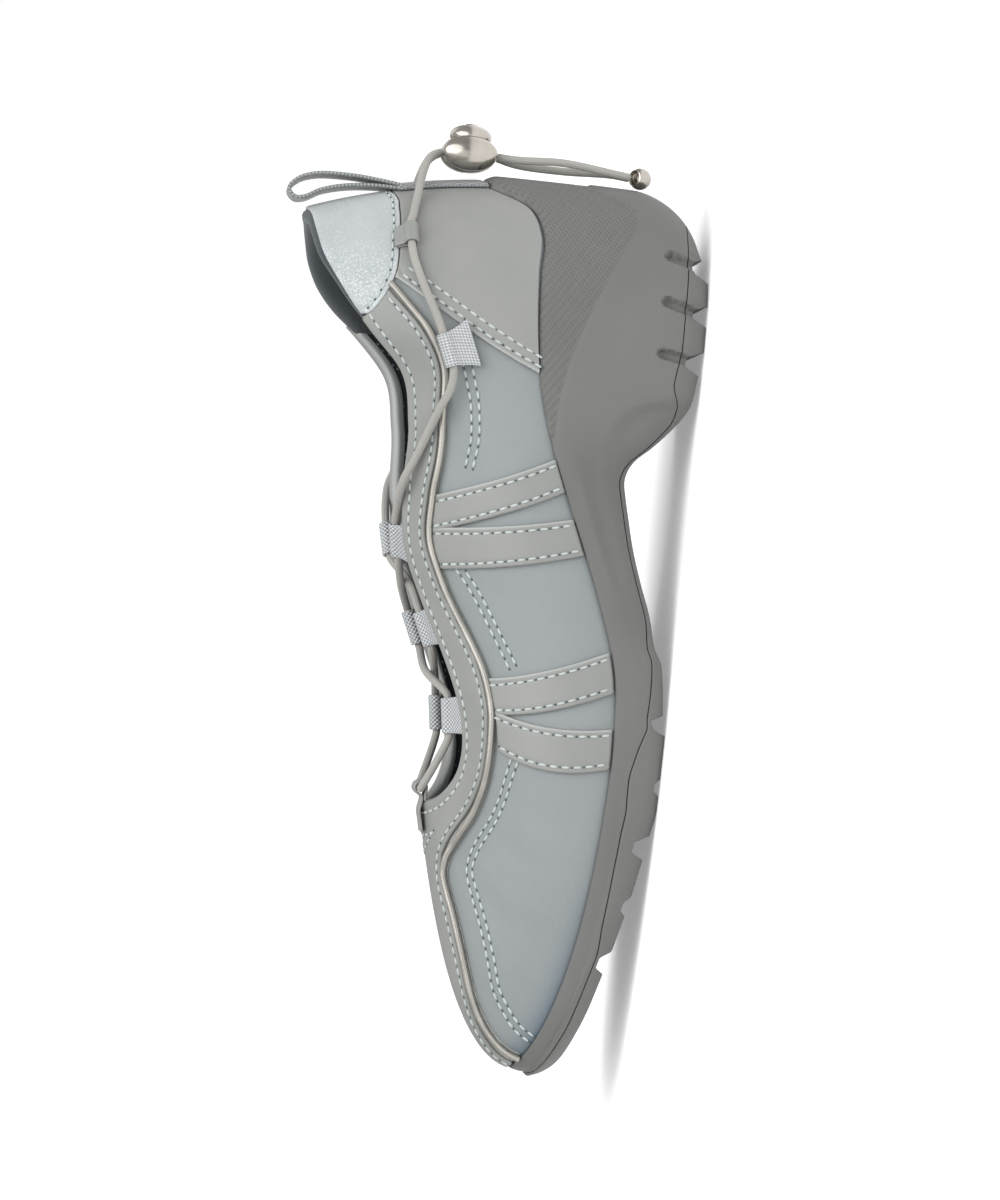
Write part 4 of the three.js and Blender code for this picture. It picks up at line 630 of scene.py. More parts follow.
def raised(tree, shader, height, distance, strength=1.0, after=None):
    """Links a height to the shader's normal as a bump, in metres."""
    inputs = {"Height": height, "Distance": distance, "Strength": strength}
    if after is not None:
        inputs["Normal"] = after
    made = node(tree, "ShaderNodeBump", inputs).outputs[0]
    tree.links.new(made, shader["Normal"])
    return made


def map_of(tree):
    return node(tree, "ShaderNodeUVMap", uv_map="chart").outputs[0]


def spot_of(tree):
    return node(tree, "ShaderNodeTexCoord").outputs["Object"]


def coloured(tree, shader, factor, first, second):
    """Links two colours, mixed by a factor, to the shader."""
    tree.links.new(blended(tree, factor, first, second), shader["Base Color"])


def weighed(tree, first, share, second):
    """Two values added, the first by a share and the second by the rest."""
    return maths(tree, "MULTIPLY_ADD", first, share, maths(tree, "MULTIPLY", second, 1 - share))


cord_finish, tree, shader = finish_for("elastic_cord", 0.72, Sheen_Weight=0.15)
chart = map_of(tree)
braid = placed(tree, weave, {"Map": chart, "Warp": (1100, 700, 0), "Weft": (1100, -700, 0)})["Height"]
wear = placed(tree, grain, {"Place": chart, "Size": 0.003, "Patches": 0.03})["Patch"]
coloured(tree, shader, weighed(tree, braid, 0.7, wear), CORD_DARK, CORD_GREY)
raised(tree, shader, braid, 0.00012, 0.8)

deep = FIT + LEATHER
heel_back = off_wall(0.0, 0.12, deep + FIT + HEEL_TAPE)
lock = np.array([heel_back[0] - LOCK_OFF - LOCK_DEPTH / 2, 0, HEEL_SEAT + HEEL_PEAK + LOCK_RAISE])
sole_back = off_wall(0.0, 0.0, 0)[0] - RIM_WIDTH * HEEL_RIM
bead = np.array([sole_back - BEAD_DIAMETER / 2 - BEAD_OFF, BEAD_ASIDE, HEEL_ROLL + BEAD_RAISE])
tail_top = lock[2] - LOCK_HEIGHT / 2 - FIT
tail_end = bead[2] + BEAD_DIAMETER / 2 + FIT
tail_out = bead[0] + RIM_WIDTH * 0.2
tails = {}
for side, name in ((1, "lateral"), (-1, "medial")):
    route = np.array([
        (lock[0], side * 2.0, tail_top),
        (lock[0] + (0.2 if side > 0 else 1.2), side * 2.6, tail_top - 6),
        (tail_out - (2.2 if side > 0 else 0.2), side * 2.9 - 0.6, (tail_top + tail_end) / 2),
        (tail_out - 0.9, side * 2.2 - 1.0, tail_end + 5),
        (bead[0], bead[1] + side * 1.45, tail_end),
    ])
    path = even_path(smooth_path(route), TAIL_STEP)
    form = Form("tail_" + name)
    closed_tube(form, path, LACE_RADIUS)
    tails[name] = (form.make(cord_finish), (path - np.array([ORIGIN_ALONG, 0, 0])) * MM)


def place_on(side, at):
    """A place on the outer side, or its mirror place on the inner side."""
    return at if side > 0 else 2 - at


def throat_point(row):
    return np.array([
        LACE_THROAT["along"][row] * LENGTH,
        LACE_THROAT["side"][row] * LACE_THROAT["across"][row] * BALL_WIDTH,
        LACE_THROAT["up"][row] * (BALL_SEAT + INSTEP_DEPTH),
    ])


def throat_way(row):
    turn = math.radians(LACE_THROAT["turn"][row])
    return unit(np.array([math.cos(turn), math.sin(turn), -LACE_THROAT["fall"][row]]))


def held_row(row, side):
    """The lace's middle in a keeper or side loop, and its way there."""
    at, up, slope = LACE_RUN["at"][row], LACE_RUN["up"][row], LACE_RUN["slope"][row]
    out = LACE_RUN["out"][row] * LACE_RADIUS
    before = off_wall(place_on(side, at - HOLD_STEP), up - HOLD_STEP * slope, out)
    after = off_wall(place_on(side, at + HOLD_STEP), up + HOLD_STEP * slope, out)
    return (before + after) / 2, unit(after - before)


def through_fitting(centre, way, width):
    """The lace's points just before, in and just after a loop or keeper."""
    half = width / 2
    return [centre + way * step for step in (-half - ENTRY, STRAIGHT - half, half - STRAIGHT, half + ENTRY)]


def side_run(side):
    """The lace's points on one side, from the lock to the throat."""
    rim = lock[2] + LOCK_HEIGHT / 2 + FIT
    points = [
        np.array([lock[0] + 0.2, side * 1.8, rim - 3]),
        np.array([lock[0] + 0.6, side * 2.2, rim]),
        np.array([lock[0] + 3.0, side * 5.4, rim + 3.2]),
    ]
    for row, hold in enumerate(LACE_RUN["hold"]):
        if hold:
            points += through_fitting(*held_row(row, side), FITTING_WIDTHS[hold])
        else:
            at, out = LACE_RUN["at"][row], LACE_RUN["out"][row] * LACE_RADIUS
            points.append(off_wall(place_on(side, at), LACE_RUN["up"][row], out))
    return points


lace_route = side_run(1)
for row, name in enumerate(LACE_THROAT["name"]):
    if name:
        width = TUNNEL_WIDTH if name == "tunnel" else LOOP_WIDTH
        lace_route += through_fitting(throat_point(row), throat_way(row), width)
    else:
        lace_route.append(throat_point(row))
lace_route += side_run(-1)[::-1]
form = Form("lace_cord")
closed_tube(form, even_path(smooth_path(lace_route, 12), LACE_STEP), LACE_RADIUS, LACE_SIDES)
lace_cord = form.make(cord_finish)
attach(lace_cord, "shoe")
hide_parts("lace")

# Bead: a polished metal ball with a round-edged hole, where the two ends are knotted and hidden
BEAD_HOLE = 2.3
METAL_DARK = tint(168, 162, 153)
METAL_PALE = tint(190, 185, 177)
BEAD_TILT = math.radians(35)
metal_finish, tree, shader = finish_for("nickel", 0.2, Metallic=1.0)
spot = spot_of(tree)
rubbed = placed(tree, grain, {"Place": spot, "Size": 0.0012, "Patches": 0.006})
coloured(tree, shader, rubbed["Patch"], METAL_DARK, METAL_PALE)
tree.links.new(spread(tree, rubbed["Patch"], 0, 1, 0.16, 0.26), shader["Roughness"])
raised(tree, shader, rubbed["Height"], 0.00001, 0.3)


def lathed(profile, count):
    """A profile of radius and height turned round the Z axis."""
    radius, height = np.array(profile).T
    turns = np.linspace(0, 2 * math.pi, count)[:, None]
    return np.stack([radius * np.cos(turns), radius * np.sin(turns), height + 0 * turns], -1)


radius = BEAD_DIAMETER / 2
rim_turn = math.asin(BEAD_HOLE / radius)
outside = np.linspace(math.pi, rim_turn + 0.22, 22)
profile = [(radius * math.sin(turn), radius * math.cos(turn)) for turn in outside]
edge = radius * math.cos(rim_turn)
profile += [(BEAD_HOLE + 0.12, edge + 0.12), (BEAD_HOLE - 0.15, edge - 0.2), (BEAD_HOLE - 0.25, edge - 1.2)]
profile += [(BEAD_HOLE - 0.3, -0.8), (0.0, -1.2)]
tilt = np.array(Matrix.Rotation(-BEAD_TILT, 3, "X"))
form = Form("bead_ball")
form.patch(lathed(profile, 41) @ tilt.T + bead)
bead_ball = form.make(metal_finish)
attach(bead_ball, "shoe")
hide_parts("bead")
for name, (tail, path) in tails.items():
    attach(tail, "shoe")
    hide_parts("lace_tail_" + name)

# Sole
# A foam wedge with a rubber outsole under it, both cast in one warm grey and matt. The wall round
# the heel has a sunk panel with a fine knurl, recesses that rise from the notches, and a scoop at
# the arch; the outsole ends a little proud of the foam along the forefoot.
ARCH_HEIGHT = 18.9
TOE_SPRING = 18
HEEL_INSET = 13
NOTCH_HEIGHT = 5
RIM_DROP = 4
ROLL_CORNER = 0.2
GROUND_SPARE = 3
SLOT_TOP = 12.5
SLOT_WIDTH = 2.7
SLOT_DEPTH = 2.2
SLOT_RIM = 0.3
FACET_TOP = 7
FACET_LEAN = 0.35
FACET_DEPTH = 0.5
FLANK_BULGE = 0.2
PARTING_GAP = 0.3
PANEL_STEP = 0.5
PANEL_FRONT = 90
SCOOP_DEPTH = 2.2
SCOOP_BACK = 64
SCOOP_FRONT = 130
LUG_LEAN = 0.28
LUG_ROUND = 0.85
FINE_STEP = 0.5
COARSE_STEP = 1.3
ROLL_ROWS = 25
FLANK_ROWS = 40
LIP_ROWS = 8
SOLE_ACROSS = 30
SOLE_GREY = tint(105, 105, 104)
SOLE_PALE = tint(112, 112, 110)
SOLE_WALL = {
    "at": [0, 0.025, 0.05, 0.08, 0.115, 0.16, 0.21, 0.27, 0.33, 0.4, 0.47, 0.54, 0.61, 0.74, 0.81, 0.91,
            0.96, 1],
    "lip": [1.35, 1.25, 1.05, 0.9, 0.75, 0.68, 0.64, 0.62, 0.6, 0.6, 0.6, 0.6, 0.6, 0.6, 0.62, 0.62, 0.6,
            0.55],
    "rim": [2.15, 2.05, 1.8, 1.5, 1.25, 1.08, 1, 0.95, 0.9, 0.85, 0.85, 0.9, 0.9, 0.9, 0.95, 0.95, 0.9,
            0.85],
    "flank": [2.2, 2.1, 1.85, 1.5, 1.25, 1.05, 0.9, 0.6, -0.3, -0.3, 0.4, 0.9, 0.95, 1, 1.05, 1.15, 1.15,
            1.15],
    "roll": [1, 0.98, 0.9, 0.75, 0.55, 0.36, 0.3, 0.4, 0.45, 0.42, 0.3, 0.22, 0.2, 0.22, 0.26, 0.38,
            0.46, 0.5],
    "inset": [1, 0.99, 0.95, 0.84, 0.6, 0.32, 0.2, 0.28, 0.55, 0.55, 0.34, 0.18, 0.14, 0.16, 0.22, 0.38,
            0.54, 0.62],
}
BOTTOM_LINE = {
    "along": [-0.02, 0.078, 0.1, 0.187, 0.213, 0.246, 0.261, 0.28, 0.299, 0.313, 0.325, 0.336, 0.355,
            0.373, 0.41, 0.448, 0.485, 0.516, 0.532, 0.56, 0.594, 0.606, 0.69, 0.72, 0.746, 0.787, 0.851,
            0.877, 0.933, 0.97, 0.985, 1.02],
    "arch": [0.1, 0.095, 0, 0, 0.053, 0.116, 0.222, 0.423, 0.667, 0.873, 0.968, 1, 0.952, 0.889, 0.757,
            0.582, 0.397, 0.286, 0.165, 0.1, 0.05, 0, 0, 0, 0, 0, 0, 0, 0, 0, 0, 0],
    "spring": [0, 0, 0, 0, 0, 0, 0, 0, 0, 0, 0, 0, 0, 0, 0, 0, 0, 0, 0, 0, 0, 0, 0, 0.07, 0.13, 0.23,
            0.42, 0.51, 0.71, 0.89, 1, 1.35],
}
OUTSOLE_LINE = {
    "along": [-0.02, 0.078, 0.1, 0.225, 0.252, 0.27, 0.325, 0.48, 0.535, 0.594, 0.63, 0.664, 0.746, 0.82,
            0.86, 0.933, 0.97, 1.02],
    "thick": [1.05, 1.05, 1.35, 1.35, 0.7, 0.42, 0.3, 0.3, 0.62, 1, 1.55, 1.88, 1.6, 1.18, 0.86, 0.9,
            1.05, 1.3],
}
NOTCHES = {
    "start": [0.081, 0.135, 0.187, 0.588, 0.657, 0.72, 0.789, 0.851],
    "end": [0.107, 0.157, 0.212, 0.609, 0.675, 0.746, 0.81, 0.877],
    "tall": [1, 0.9, 1, 0.8, 0.36, 0.84, 0.4, 0.66],
    "slot": [0.0832, 0.1355, 0.193, 0, 0, 0, 0, 0],
}
# The heel panel's lower edge and the arch scoop's upper edge, seen from the side, in millimetres
PANEL_EDGE = {
    "x": [-12, 5.5, 7, 10, 14, 20, 30, 40, 50, 60, 70, 85, 92],
    "z": [47, 33, 27, 23.3, 22.6, 25, 29.5, 33.3, 37, 39.6, 41, 41.5, 46],
}
SCOOP_EDGE = {
    "x": [64, 66, 69, 74, 81, 90, 100, 110, 120, 130],
    "z": [3, 12, 20.5, 25.5, 27, 26, 23, 19, 14.5, 8],
}

arch_share = along_shoe(BOTTOM_LINE, "arch")
spring_share = along_shoe(BOTTOM_LINE, "spring")
outsole_thick = along_shoe(OUTSOLE_LINE, "thick")
panel_edge = eased(PANEL_EDGE["x"], PANEL_EDGE["z"])
scoop_edge = eased(SCOOP_EDGE["x"], SCOOP_EDGE["z"])


def ground_height(x):
    return arch_share(x) * ARCH_HEIGHT + spring_share(x) * TOE_SPRING


def step_up(value, width=1.0):
    """0 below, 1 above, with a soft step of a width round 0."""
    t = np.clip(value / width + 0.5, 0, 1)
    return t * t * (3 - 2 * t)


def lug_line(x):
    """The ground line with its notches, whose sides lean."""
    rise = np.zeros_like(x)
    for start, end, tall in zip(NOTCHES["start"], NOTCHES["end"], NOTCHES["tall"]):
        first, last = start * LENGTH, end * LENGTH
        lean = (last - first) * LUG_LEAN
        inside = np.clip(np.minimum(x - first, last - x) / lean, 0, 1)
        rise = np.maximum(rise, tall * NOTCH_HEIGHT * inside ** LUG_ROUND)
    return ground_height(x) + rise


def sole_relief(x, z):
    """How far the side's panel, scoop and recesses move it out, seen from the side."""
    out = -PANEL_STEP * step_up(z - panel_edge(x), 0.9) * step_up(PANEL_FRONT - x, 8)
    inside = (scoop_edge(x) - z) * step_up(x - SCOOP_BACK, 3) * step_up(SCOOP_FRONT - x, 6)
    ends = step_up(x - SCOOP_BACK - 2, 5) * step_up(SCOOP_FRONT - 2 - x, 24)
    out -= SCOOP_DEPTH * step_up(inside - 3.2, 7.5) * ends
    for start, end, tall, slot in zip(*(NOTCHES[key] for key in ("start", "end", "tall", "slot"))):
        middle = (start + end) / 2 * LENGTH
        if slot:
            top = np.array([slot * LENGTH, SLOT_TOP])
            foot = np.array([middle, NOTCH_HEIGHT * 0.4])
            way = (foot - top) / np.linalg.norm(foot - top)
            along = (x - top[0]) * way[0] + (z - top[1]) * way[1]
            over = np.abs((x - top[0]) * way[1] - (z - top[1]) * way[0])
            beyond = np.hypot(over, np.minimum(along, 0))
            out -= SLOT_DEPTH * step_up(SLOT_WIDTH / 2 - beyond, 0.6)
            out += SLOT_RIM * np.exp(-((beyond - SLOT_WIDTH / 2 - 0.55) / 0.45) ** 2)
            facet = x - (start * LENGTH - 1.6) + (z - FACET_TOP) * FACET_LEAN
            facet_top = FACET_TOP + 0.2 - z
            out -= FACET_DEPTH * step_up(facet, 0.6) * step_up(middle - x, 1.0) * step_up(facet_top, 0.8)
    return out


def knurl_mask(side):
    """1 where the heel panel's knurl shows, 0 elsewhere."""
    x, z = side[..., 0], side[..., 2]
    return step_up(z - panel_edge(x) - 0.6, 1.2) * step_up(PANEL_FRONT - 2 - x, 6)


def stations():
    """Places round the sole, close together where notches and recesses cut its side."""
    fine = np.linspace(0, 1, 4001)
    where = foot_point(fine)
    gap = np.linalg.norm(np.diff(where[:, :2], axis=0), axis=1)
    near = np.zeros(len(fine))
    for start, end, slot in zip(NOTCHES["start"], NOTCHES["end"], NOTCHES["slot"]):
        low = start * LENGTH - (3 if slot else 1.5)
        near = np.maximum(near, ((where[:, 0] > low) & (where[:, 0] < end * LENGTH + 1.5)).astype(float))
    steps = np.append(0, np.cumsum(gap / (COARSE_STEP - (COARSE_STEP - FINE_STEP) * near[1:])))
    count = int(math.ceil(steps[-1]))
    return all_round(np.interp(np.linspace(0, steps[-1], count + 1), steps, fine))


def rolled(start, corner, end, t):
    """A curve from start to end that is drawn toward a corner, for each station."""
    return start[:, None] * (1 - t) ** 2 + corner[:, None] * 2 * t * (1 - t) + end[:, None] * t * t


sole_round = stations()
foot = foot_point(sole_round)
outward = plan_normal(sole_round)
keys = ("lip", "rim", "flank", "roll", "inset")
lip, rim, flank, roll, inset = (closed_curve(SOLE_WALL, column(SOLE_WALL, key))(sole_round) for key in keys)
lip, rim, flank = lip * RIM_WIDTH, rim * RIM_WIDTH, flank * RIM_WIDTH
inset = -inset * HEEL_INSET
edge_ground = ground_height(foot[:, 0] + outward[:, 0] * inset)
turn_z = edge_ground + roll * HEEL_ROLL
corner_out = flank + (inset - flank) * ROLL_CORNER
corner_z = edge_ground + (turn_z - edge_ground + GROUND_SPARE) * ROLL_CORNER
t = np.linspace(0, 1, ROLL_ROWS)[None, :]
rolled_out = rolled(inset, corner_out, flank, t)
rolled_z = rolled(edge_ground, corner_z, turn_z, t)
t = np.linspace(0, 1, FLANK_ROWS + 1)[None, 1:]
rim_z = (foot[:, 2] - RIM_DROP)[:, None]
flank_z = turn_z[:, None] + (rim_z - turn_z[:, None]) * t
flank_out = flank[:, None] + (rim - flank)[:, None] * (t * t * (3 - 2 * t)) + 4 * FLANK_BULGE * t * (1 - t)
t = np.linspace(0, 1, LIP_ROWS + 1)[None, 1:]
lip_out = rim[:, None] + (lip - rim)[:, None] * t * t
profile_out = np.hstack([rolled_out, flank_out, lip_out])
profile_z = np.hstack([rolled_z, flank_z, rim_z + RIM_DROP * t])
smoother = np.array([1, 2, 3, 4, 3, 2, 1]) / 16
for row in profile_out:
    row[3:-3] = np.convolve(row, smoother, "valid")


def run_of(out, z):
    """The length along a station's side, up to each of its points."""
    return np.append(0, np.cumsum(np.hypot(np.diff(out), np.diff(z))))


def side_rows(share_low, share_high, count):
    """The side's points between two shares of its own length, one row a station."""
    made = []
    for out, z, low, high in zip(profile_out, profile_z, share_low, share_high):
        length = run_of(out, z)
        cuts = (low + (high - low) * np.linspace(0, 1, count)) * length[-1]
        made.append(np.stack([np.interp(cuts, length, out), np.interp(cuts, length, z)], -1))
    return np.array(made)


def share_at_height(levels):
    """The share of the side's own length at which it reaches a height, for each station."""
    made = []
    for out, z, level in zip(profile_out, profile_z, levels):
        length = run_of(out, z)
        made.append(np.interp(level, np.maximum.accumulate(z), length) / length[-1])
    return np.array(made)


def side_grid(rows, floor_line=None):
    """The side's points in space, with its relief, and lifted where a notch cuts it."""
    out, z = rows[..., 0], rows[..., 1]
    x = foot[:, None, 0] + outward[:, None, 0] * out
    out = out + sole_relief(x, z)
    grid = np.stack([foot[:, None, 0] + outward[:, None, 0] * out,
                     foot[:, None, 1] + outward[:, None, 1] * out, z], -1)
    if floor_line is not None:
        grid[..., 2] = np.maximum(z, floor_line(grid[..., 0]))
    return grid


def across_sole(edge, columns, lift=None):
    """A sheet across the sole between the two halves of a closed line round it."""
    count = len(edge) // 2 + 1
    lateral = edge[:count]
    medial = np.concatenate([edge[:1], edge[:count - 1:-1], edge[count - 1:count]])
    share = np.linspace(0, 1, columns)[None, :, None]
    sheet = lateral[:, None] * (1 - share) + medial[:, None] * share
    if lift is not None:
        sheet[:, 1:-1, 2] = lift(sheet[:, 1:-1, 0], sheet[:, 1:-1, 1])
    return sheet


parting_x = foot[:, 0] + outward[:, 0] * rim * 0.5
parting_z = ground_height(parting_x) + outsole_thick(parting_x) * NOTCH_HEIGHT
parting = share_at_height(parting_z)


def tone_of(tree):
    return node(tree, "ShaderNodeAttribute", attribute_name="tone").outputs["Fac"]


sole_finish, tree, shader = finish_for("moulded_sole", 0.62, Specular_IOR_Level=0.4)
spot = spot_of(tree)
cast = placed(tree, grain, {"Place": spot, "Size": 0.0005, "Patches": 0.03})
knurled = tone_of(tree)
knurl = placed(tree, weave, {"Map": spot, "Warp": (760, 0, 520), "Weft": (150, 0, -220)})["Height"]
knurl = maths(tree, "MULTIPLY", knurl, knurled)
# The knurl's pattern is also painted a little darker into the colour: painted shade of its fine relief, on
# top of its bump
shade = maths(tree, "MULTIPLY_ADD", knurl, -0.1, cast["Patch"])
coloured(tree, shader, shade, SOLE_GREY, SOLE_PALE)
tree.links.new(spread(tree, cast["Patch"], 0, 1, 0.56, 0.68), shader["Roughness"])
fine_bump = raised(tree, shader, cast["Height"], 0.00005, 0.5)
raised(tree, shader, knurl, 0.00035, 1.0, fine_bump)

# Outsole: tread, lugs and the side up to the parting
OUTSOLE_ROWS = 26
PROUD = 0.35
PROUD_FROM = 140
rows = side_rows(np.zeros(len(sole_round)), parting, OUTSOLE_ROWS)
proud = PROUD * step_up(foot[:, 0] - PROUD_FROM, 20)[:, None]
rounding = np.clip((rows[:, -1:, 1] - rows[..., 1]) / 0.5, 0, 1)
rows[..., 0] += proud * np.sqrt(1 - (1 - rounding) ** 2) * step_up(rows[..., 1] - rows[:, :1, 1] - 1, 2)
side = side_grid(rows, lug_line)
form = Form("outsole_moulded")
form.patch(side, tone=knurl_mask(side), wrap=True)
form.patch(across_sole(side[:, 0], SOLE_ACROSS, lambda x, y: lug_line(x)))
form.patch(across_sole(side[:, -1], SOLE_ACROSS))
outsole = form.make(sole_finish, sharp=50)
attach(outsole, "shoe")
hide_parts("outsole")

# Midsole: the side over the parting, its rounded lip, and the cup that the upper stands in
MIDSOLE_ROWS = 58
gap_share = share_at_height(parting_z + PARTING_GAP)
side = side_grid(side_rows(gap_share, np.ones(len(sole_round)), MIDSOLE_ROWS))
cup_wall = wall_point(sole_round, -1) + outward * FIT
shelf = seat_height(foot[:, 0]) - CUP_DEPTH
inner_edge = foot + outward * (FIT * 0.4)
lip_top = side[:, -1]
levels = np.linspace(0, 1, 6)[None, :, None]
lip = lip_top[:, None] * (1 - levels) + inner_edge[:, None] * levels
lip[..., 2] += 0.35 * np.sin(math.pi * levels[..., 0])
cup_floor = np.stack([cup_wall[:, 0], cup_wall[:, 1], shelf], -1)
down = inner_edge[:, None] * (1 - levels) + cup_floor[:, None] * levels
form = Form("midsole_moulded")
form.patch(side, tone=knurl_mask(side), wrap=True)
form.patch(lip, wrap=True)
form.patch(down, wrap=True)
form.patch(across_sole(side[:, 0], SOLE_ACROSS))
form.patch(across_sole(cup_floor, SOLE_ACROSS))
midsole = form.make(sole_finish, sharp=60)
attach(midsole, "shoe")
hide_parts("midsole")

# Insole
# A foam footbed covered in satin grey leather, laid on the cup's floor inside the upper. It is
# dished, deepest at the heel, with a raised rim that meets the lining; its face is left bare.
UPPER_WALL = 1.8
INSOLE = 4.2
INSOLE_DISH = 1.2
INSOLE_GREY = tint(148, 153, 152)
INSOLE_DARK = tint(130, 136, 136)
INSOLE_STATIONS = 110
END_CLOSER = 0.16
INSOLE_ACROSS = 40
# Each hollow's middle along the shoe, and its length, width and depth, in millimetres
FOOTBED_HOLLOWS = ((42, 26, 17, 0.5), (180, 34, 22, 0.35))
# The side's rows, from its foot up and over the rim: how far in, and how high as a share
INSOLE_SIDE = ((0.15, 0.0), (0, 0.5), (0, 0.92), (0.35, 1.0), (0.9, 1.02), (1.8, 0.97), (3.2, 0.86))

insole_finish, tree, shader = finish_for("insole_leather", 0.46, Coat_Weight=0.08, Coat_Roughness=0.35)
spot = spot_of(tree)
hide = placed(tree, grain, {"Place": spot, "Size": 0.0009, "Patches": 0.035})
coloured(tree, shader, hide["Patch"], INSOLE_DARK, INSOLE_GREY)
tree.links.new(spread(tree, hide["Patch"], 0, 1, 0.4, 0.52), shader["Roughness"])
raised(tree, shader, hide["Height"], 0.00006, 0.6)

half = np.linspace(0, 1, INSOLE_STATIONS + 1)
insole_round = all_round(half - END_CLOSER * np.sin(2 * math.pi * half) / (2 * math.pi))
outward = plan_normal(insole_round)
edge = wall_point(insole_round, -1) - outward * (UPPER_WALL + FIT * 0.6)
floor_z = seat_height(foot_x(insole_round)) - CUP_DEPTH + FIT
low_edge = np.stack([edge[:, 0], edge[:, 1], floor_z], -1)
wall = []
for into, rise in INSOLE_SIDE:
    ring = low_edge - outward * into
    ring[:, 2] = floor_z + rise * (INSOLE + INSOLE_DISH)
    wall.append(ring)
wall = np.stack(wall, 1)


def footbed(x, y):
    """The dished face of the footbed, a little lower under the heel and under the ball."""
    level = seat_height(x) - CUP_DEPTH + FIT + INSOLE
    for middle, long, wide, sunk in FOOTBED_HOLLOWS:
        level = level - sunk * np.exp(-((x - middle) / long) ** 2 - (y / wide) ** 2)
    return level


top = across_sole(wall[:, -1], INSOLE_ACROSS)
share = np.abs(np.linspace(-1, 1, INSOLE_ACROSS))[None, :] ** 4
top[..., 2] = top[..., 2] * share + footbed(top[..., 0], top[..., 1]) * (1 - share)
form = Form("insole_pad")
form.patch(wall, wrap=True)
form.patch(top)
form.patch(across_sole(wall[:, 0], INSOLE_ACROSS // 2))
insole = form.make(insole_finish)
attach(insole, "shoe")
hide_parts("insole")

# Upper
# The vamp and quarters in one: a blue-grey satin-faced cloth over a black knit lining with white
# flecks, pulled over the last and down into the sole's cup. At the toe the cloth is darker within a
# few millimetres of the sole's edge.
CLOTH_PALE = tint(143, 148, 149)
CLOTH_DARK = tint(134, 140, 141)
CLOTH_TOE = tint(104, 118, 128)
KNIT_BLACK = tint(44, 50, 53)
KNIT_FLECK = tint(196, 202, 204)
UPPER_ROWS = 52
UPPER_STATIONS = 230


def wall_rise(at):
    """The wall's own upward direction at its top."""
    return unit(wall_point(at, 1.0) - wall_point(at, 0.98))


def over_top(at, out, rise):
    """A point by the top line: out from the wall, and up past its edge."""
    return off_wall(at, 1.0, out) + wall_rise(at) * np.asarray(rise, float)[..., None]


cloth_finish, tree, shader = finish_for("upper_cloth", 0.6, Sheen_Weight=0.08)
chart = map_of(tree)
sole_edge_darker = tone_of(tree)
threads = placed(tree, weave, {"Map": chart, "Warp": (1500, 0, 0), "Weft": (0, 1500, 0)})["Height"]
streaks = node(tree, "ShaderNodeMapping", {"Vector": chart, "Scale": (500, 4000, 1)}).outputs[0]
slubs = node(tree, "ShaderNodeTexNoise", {"Vector": streaks, "Scale": 1.0, "Detail": 3.0}).outputs["Fac"]
slow = placed(tree, grain, {"Place": chart, "Size": 0.002, "Patches": 0.025})["Patch"]
shade = weighed(tree, slubs, 0.6, slow)
plain = blended(tree, shade, CLOTH_DARK, CLOTH_PALE)
# The cloth is mixed toward a darker blue within a few millimetres of the sole's edge at the toe
coloured(tree, shader, sole_edge_darker, plain, CLOTH_TOE)
fine_bump = raised(tree, shader, slubs, 0.00006, 0.5)
raised(tree, shader, threads, 0.00006, 0.35, fine_bump)

knit_finish, tree, shader = finish_for("black_knit", 0.9, Sheen_Weight=0.1)
chart = map_of(tree)
stretched = node(tree, "ShaderNodeMapping", {"Vector": chart, "Scale": (1.0, 1.7, 1)}).outputs[0]
cells = node(tree, "ShaderNodeTexVoronoi", {"Vector": stretched, "Scale": 820.0})
chance = node(tree, "ShaderNodeSeparateColor", {0: cells.outputs["Color"]}).outputs[0]
flecks = maths(tree, "GREATER_THAN", chance, 0.86)
flecks = maths(tree, "MULTIPLY", flecks, maths(tree, "LESS_THAN", cells.outputs["Distance"], 0.36))
coloured(tree, shader, flecks, KNIT_BLACK, KNIT_FLECK)
raised(tree, shader, cells.outputs["Distance"], 0.0003, 0.7)

round_shoe = all_round(np.linspace(0, 1, UPPER_STATIONS + 1))
ups = np.concatenate([[-1, -0.5], np.linspace(0, 1, UPPER_ROWS)])
outer = off_wall(round_shoe[:, None], ups[None, :], 0.0)
inner = off_wall(round_shoe[:, None], ups[None, ::-1], -UPPER_WALL)
fold = UPPER_WALL / 2
turned = [over_top(round_shoe, fold * (math.cos(turn) - 1), fold * math.sin(turn))
          for turn in np.linspace(0, math.pi, 7)]
outer = np.concatenate([outer, np.stack(turned[1:4], 1)], 1)
inner = np.concatenate([np.stack(turned[3:], 1), inner[:, 1:]], 1)
above_sole = np.linalg.norm(outer - outer[:, 2:3], axis=-1)
forward = step_up(np.where(round_shoe > 1, 2 - round_shoe, round_shoe) - 0.8, 0.3)[:, None]
form = Form("upper_cloth")
form.patch(outer, tone=np.exp(-(above_sole / 4.5) ** 2) * forward, wrap=True)
form.patch(inner, slot=1, wrap=True)
form.patch(np.stack([inner[:, -1], outer[:, 0]], 1), slot=1, wrap=True)
upper_cloth = form.make(cloth_finish, knit_finish)
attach(upper_cloth, "shoe")
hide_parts("upper")

# Collar lining
# The same dark knit laid over a strip of soft foam, sewn inside the collar from one front corner of
# the patch to the other. It stands over the collar's edge as a rounded dark roll.
COLLAR_END = 0.2235
COLLAR_SOFT = 0.02
LINING_DARK = tint(56, 62, 65)
LINING_PALE = tint(78, 85, 88)


def rims(form, face, back, sides=("low", "high", "first", "last"), tone=None, slot=0):
    """The narrow walls between a sheet's face and its back, on the named sides."""
    whole = slice(None)
    cuts = {"low": (whole, 0), "high": (whole, -1), "first": (0, whole), "last": (-1, whole)}
    for cut in (cuts[side] for side in sides):
        edge_tone = None if tone is None else np.stack([tone[cut], tone[cut]], 1)
        form.patch(np.stack([face[cut], back[cut]], 1), tone=edge_tone, slot=slot)


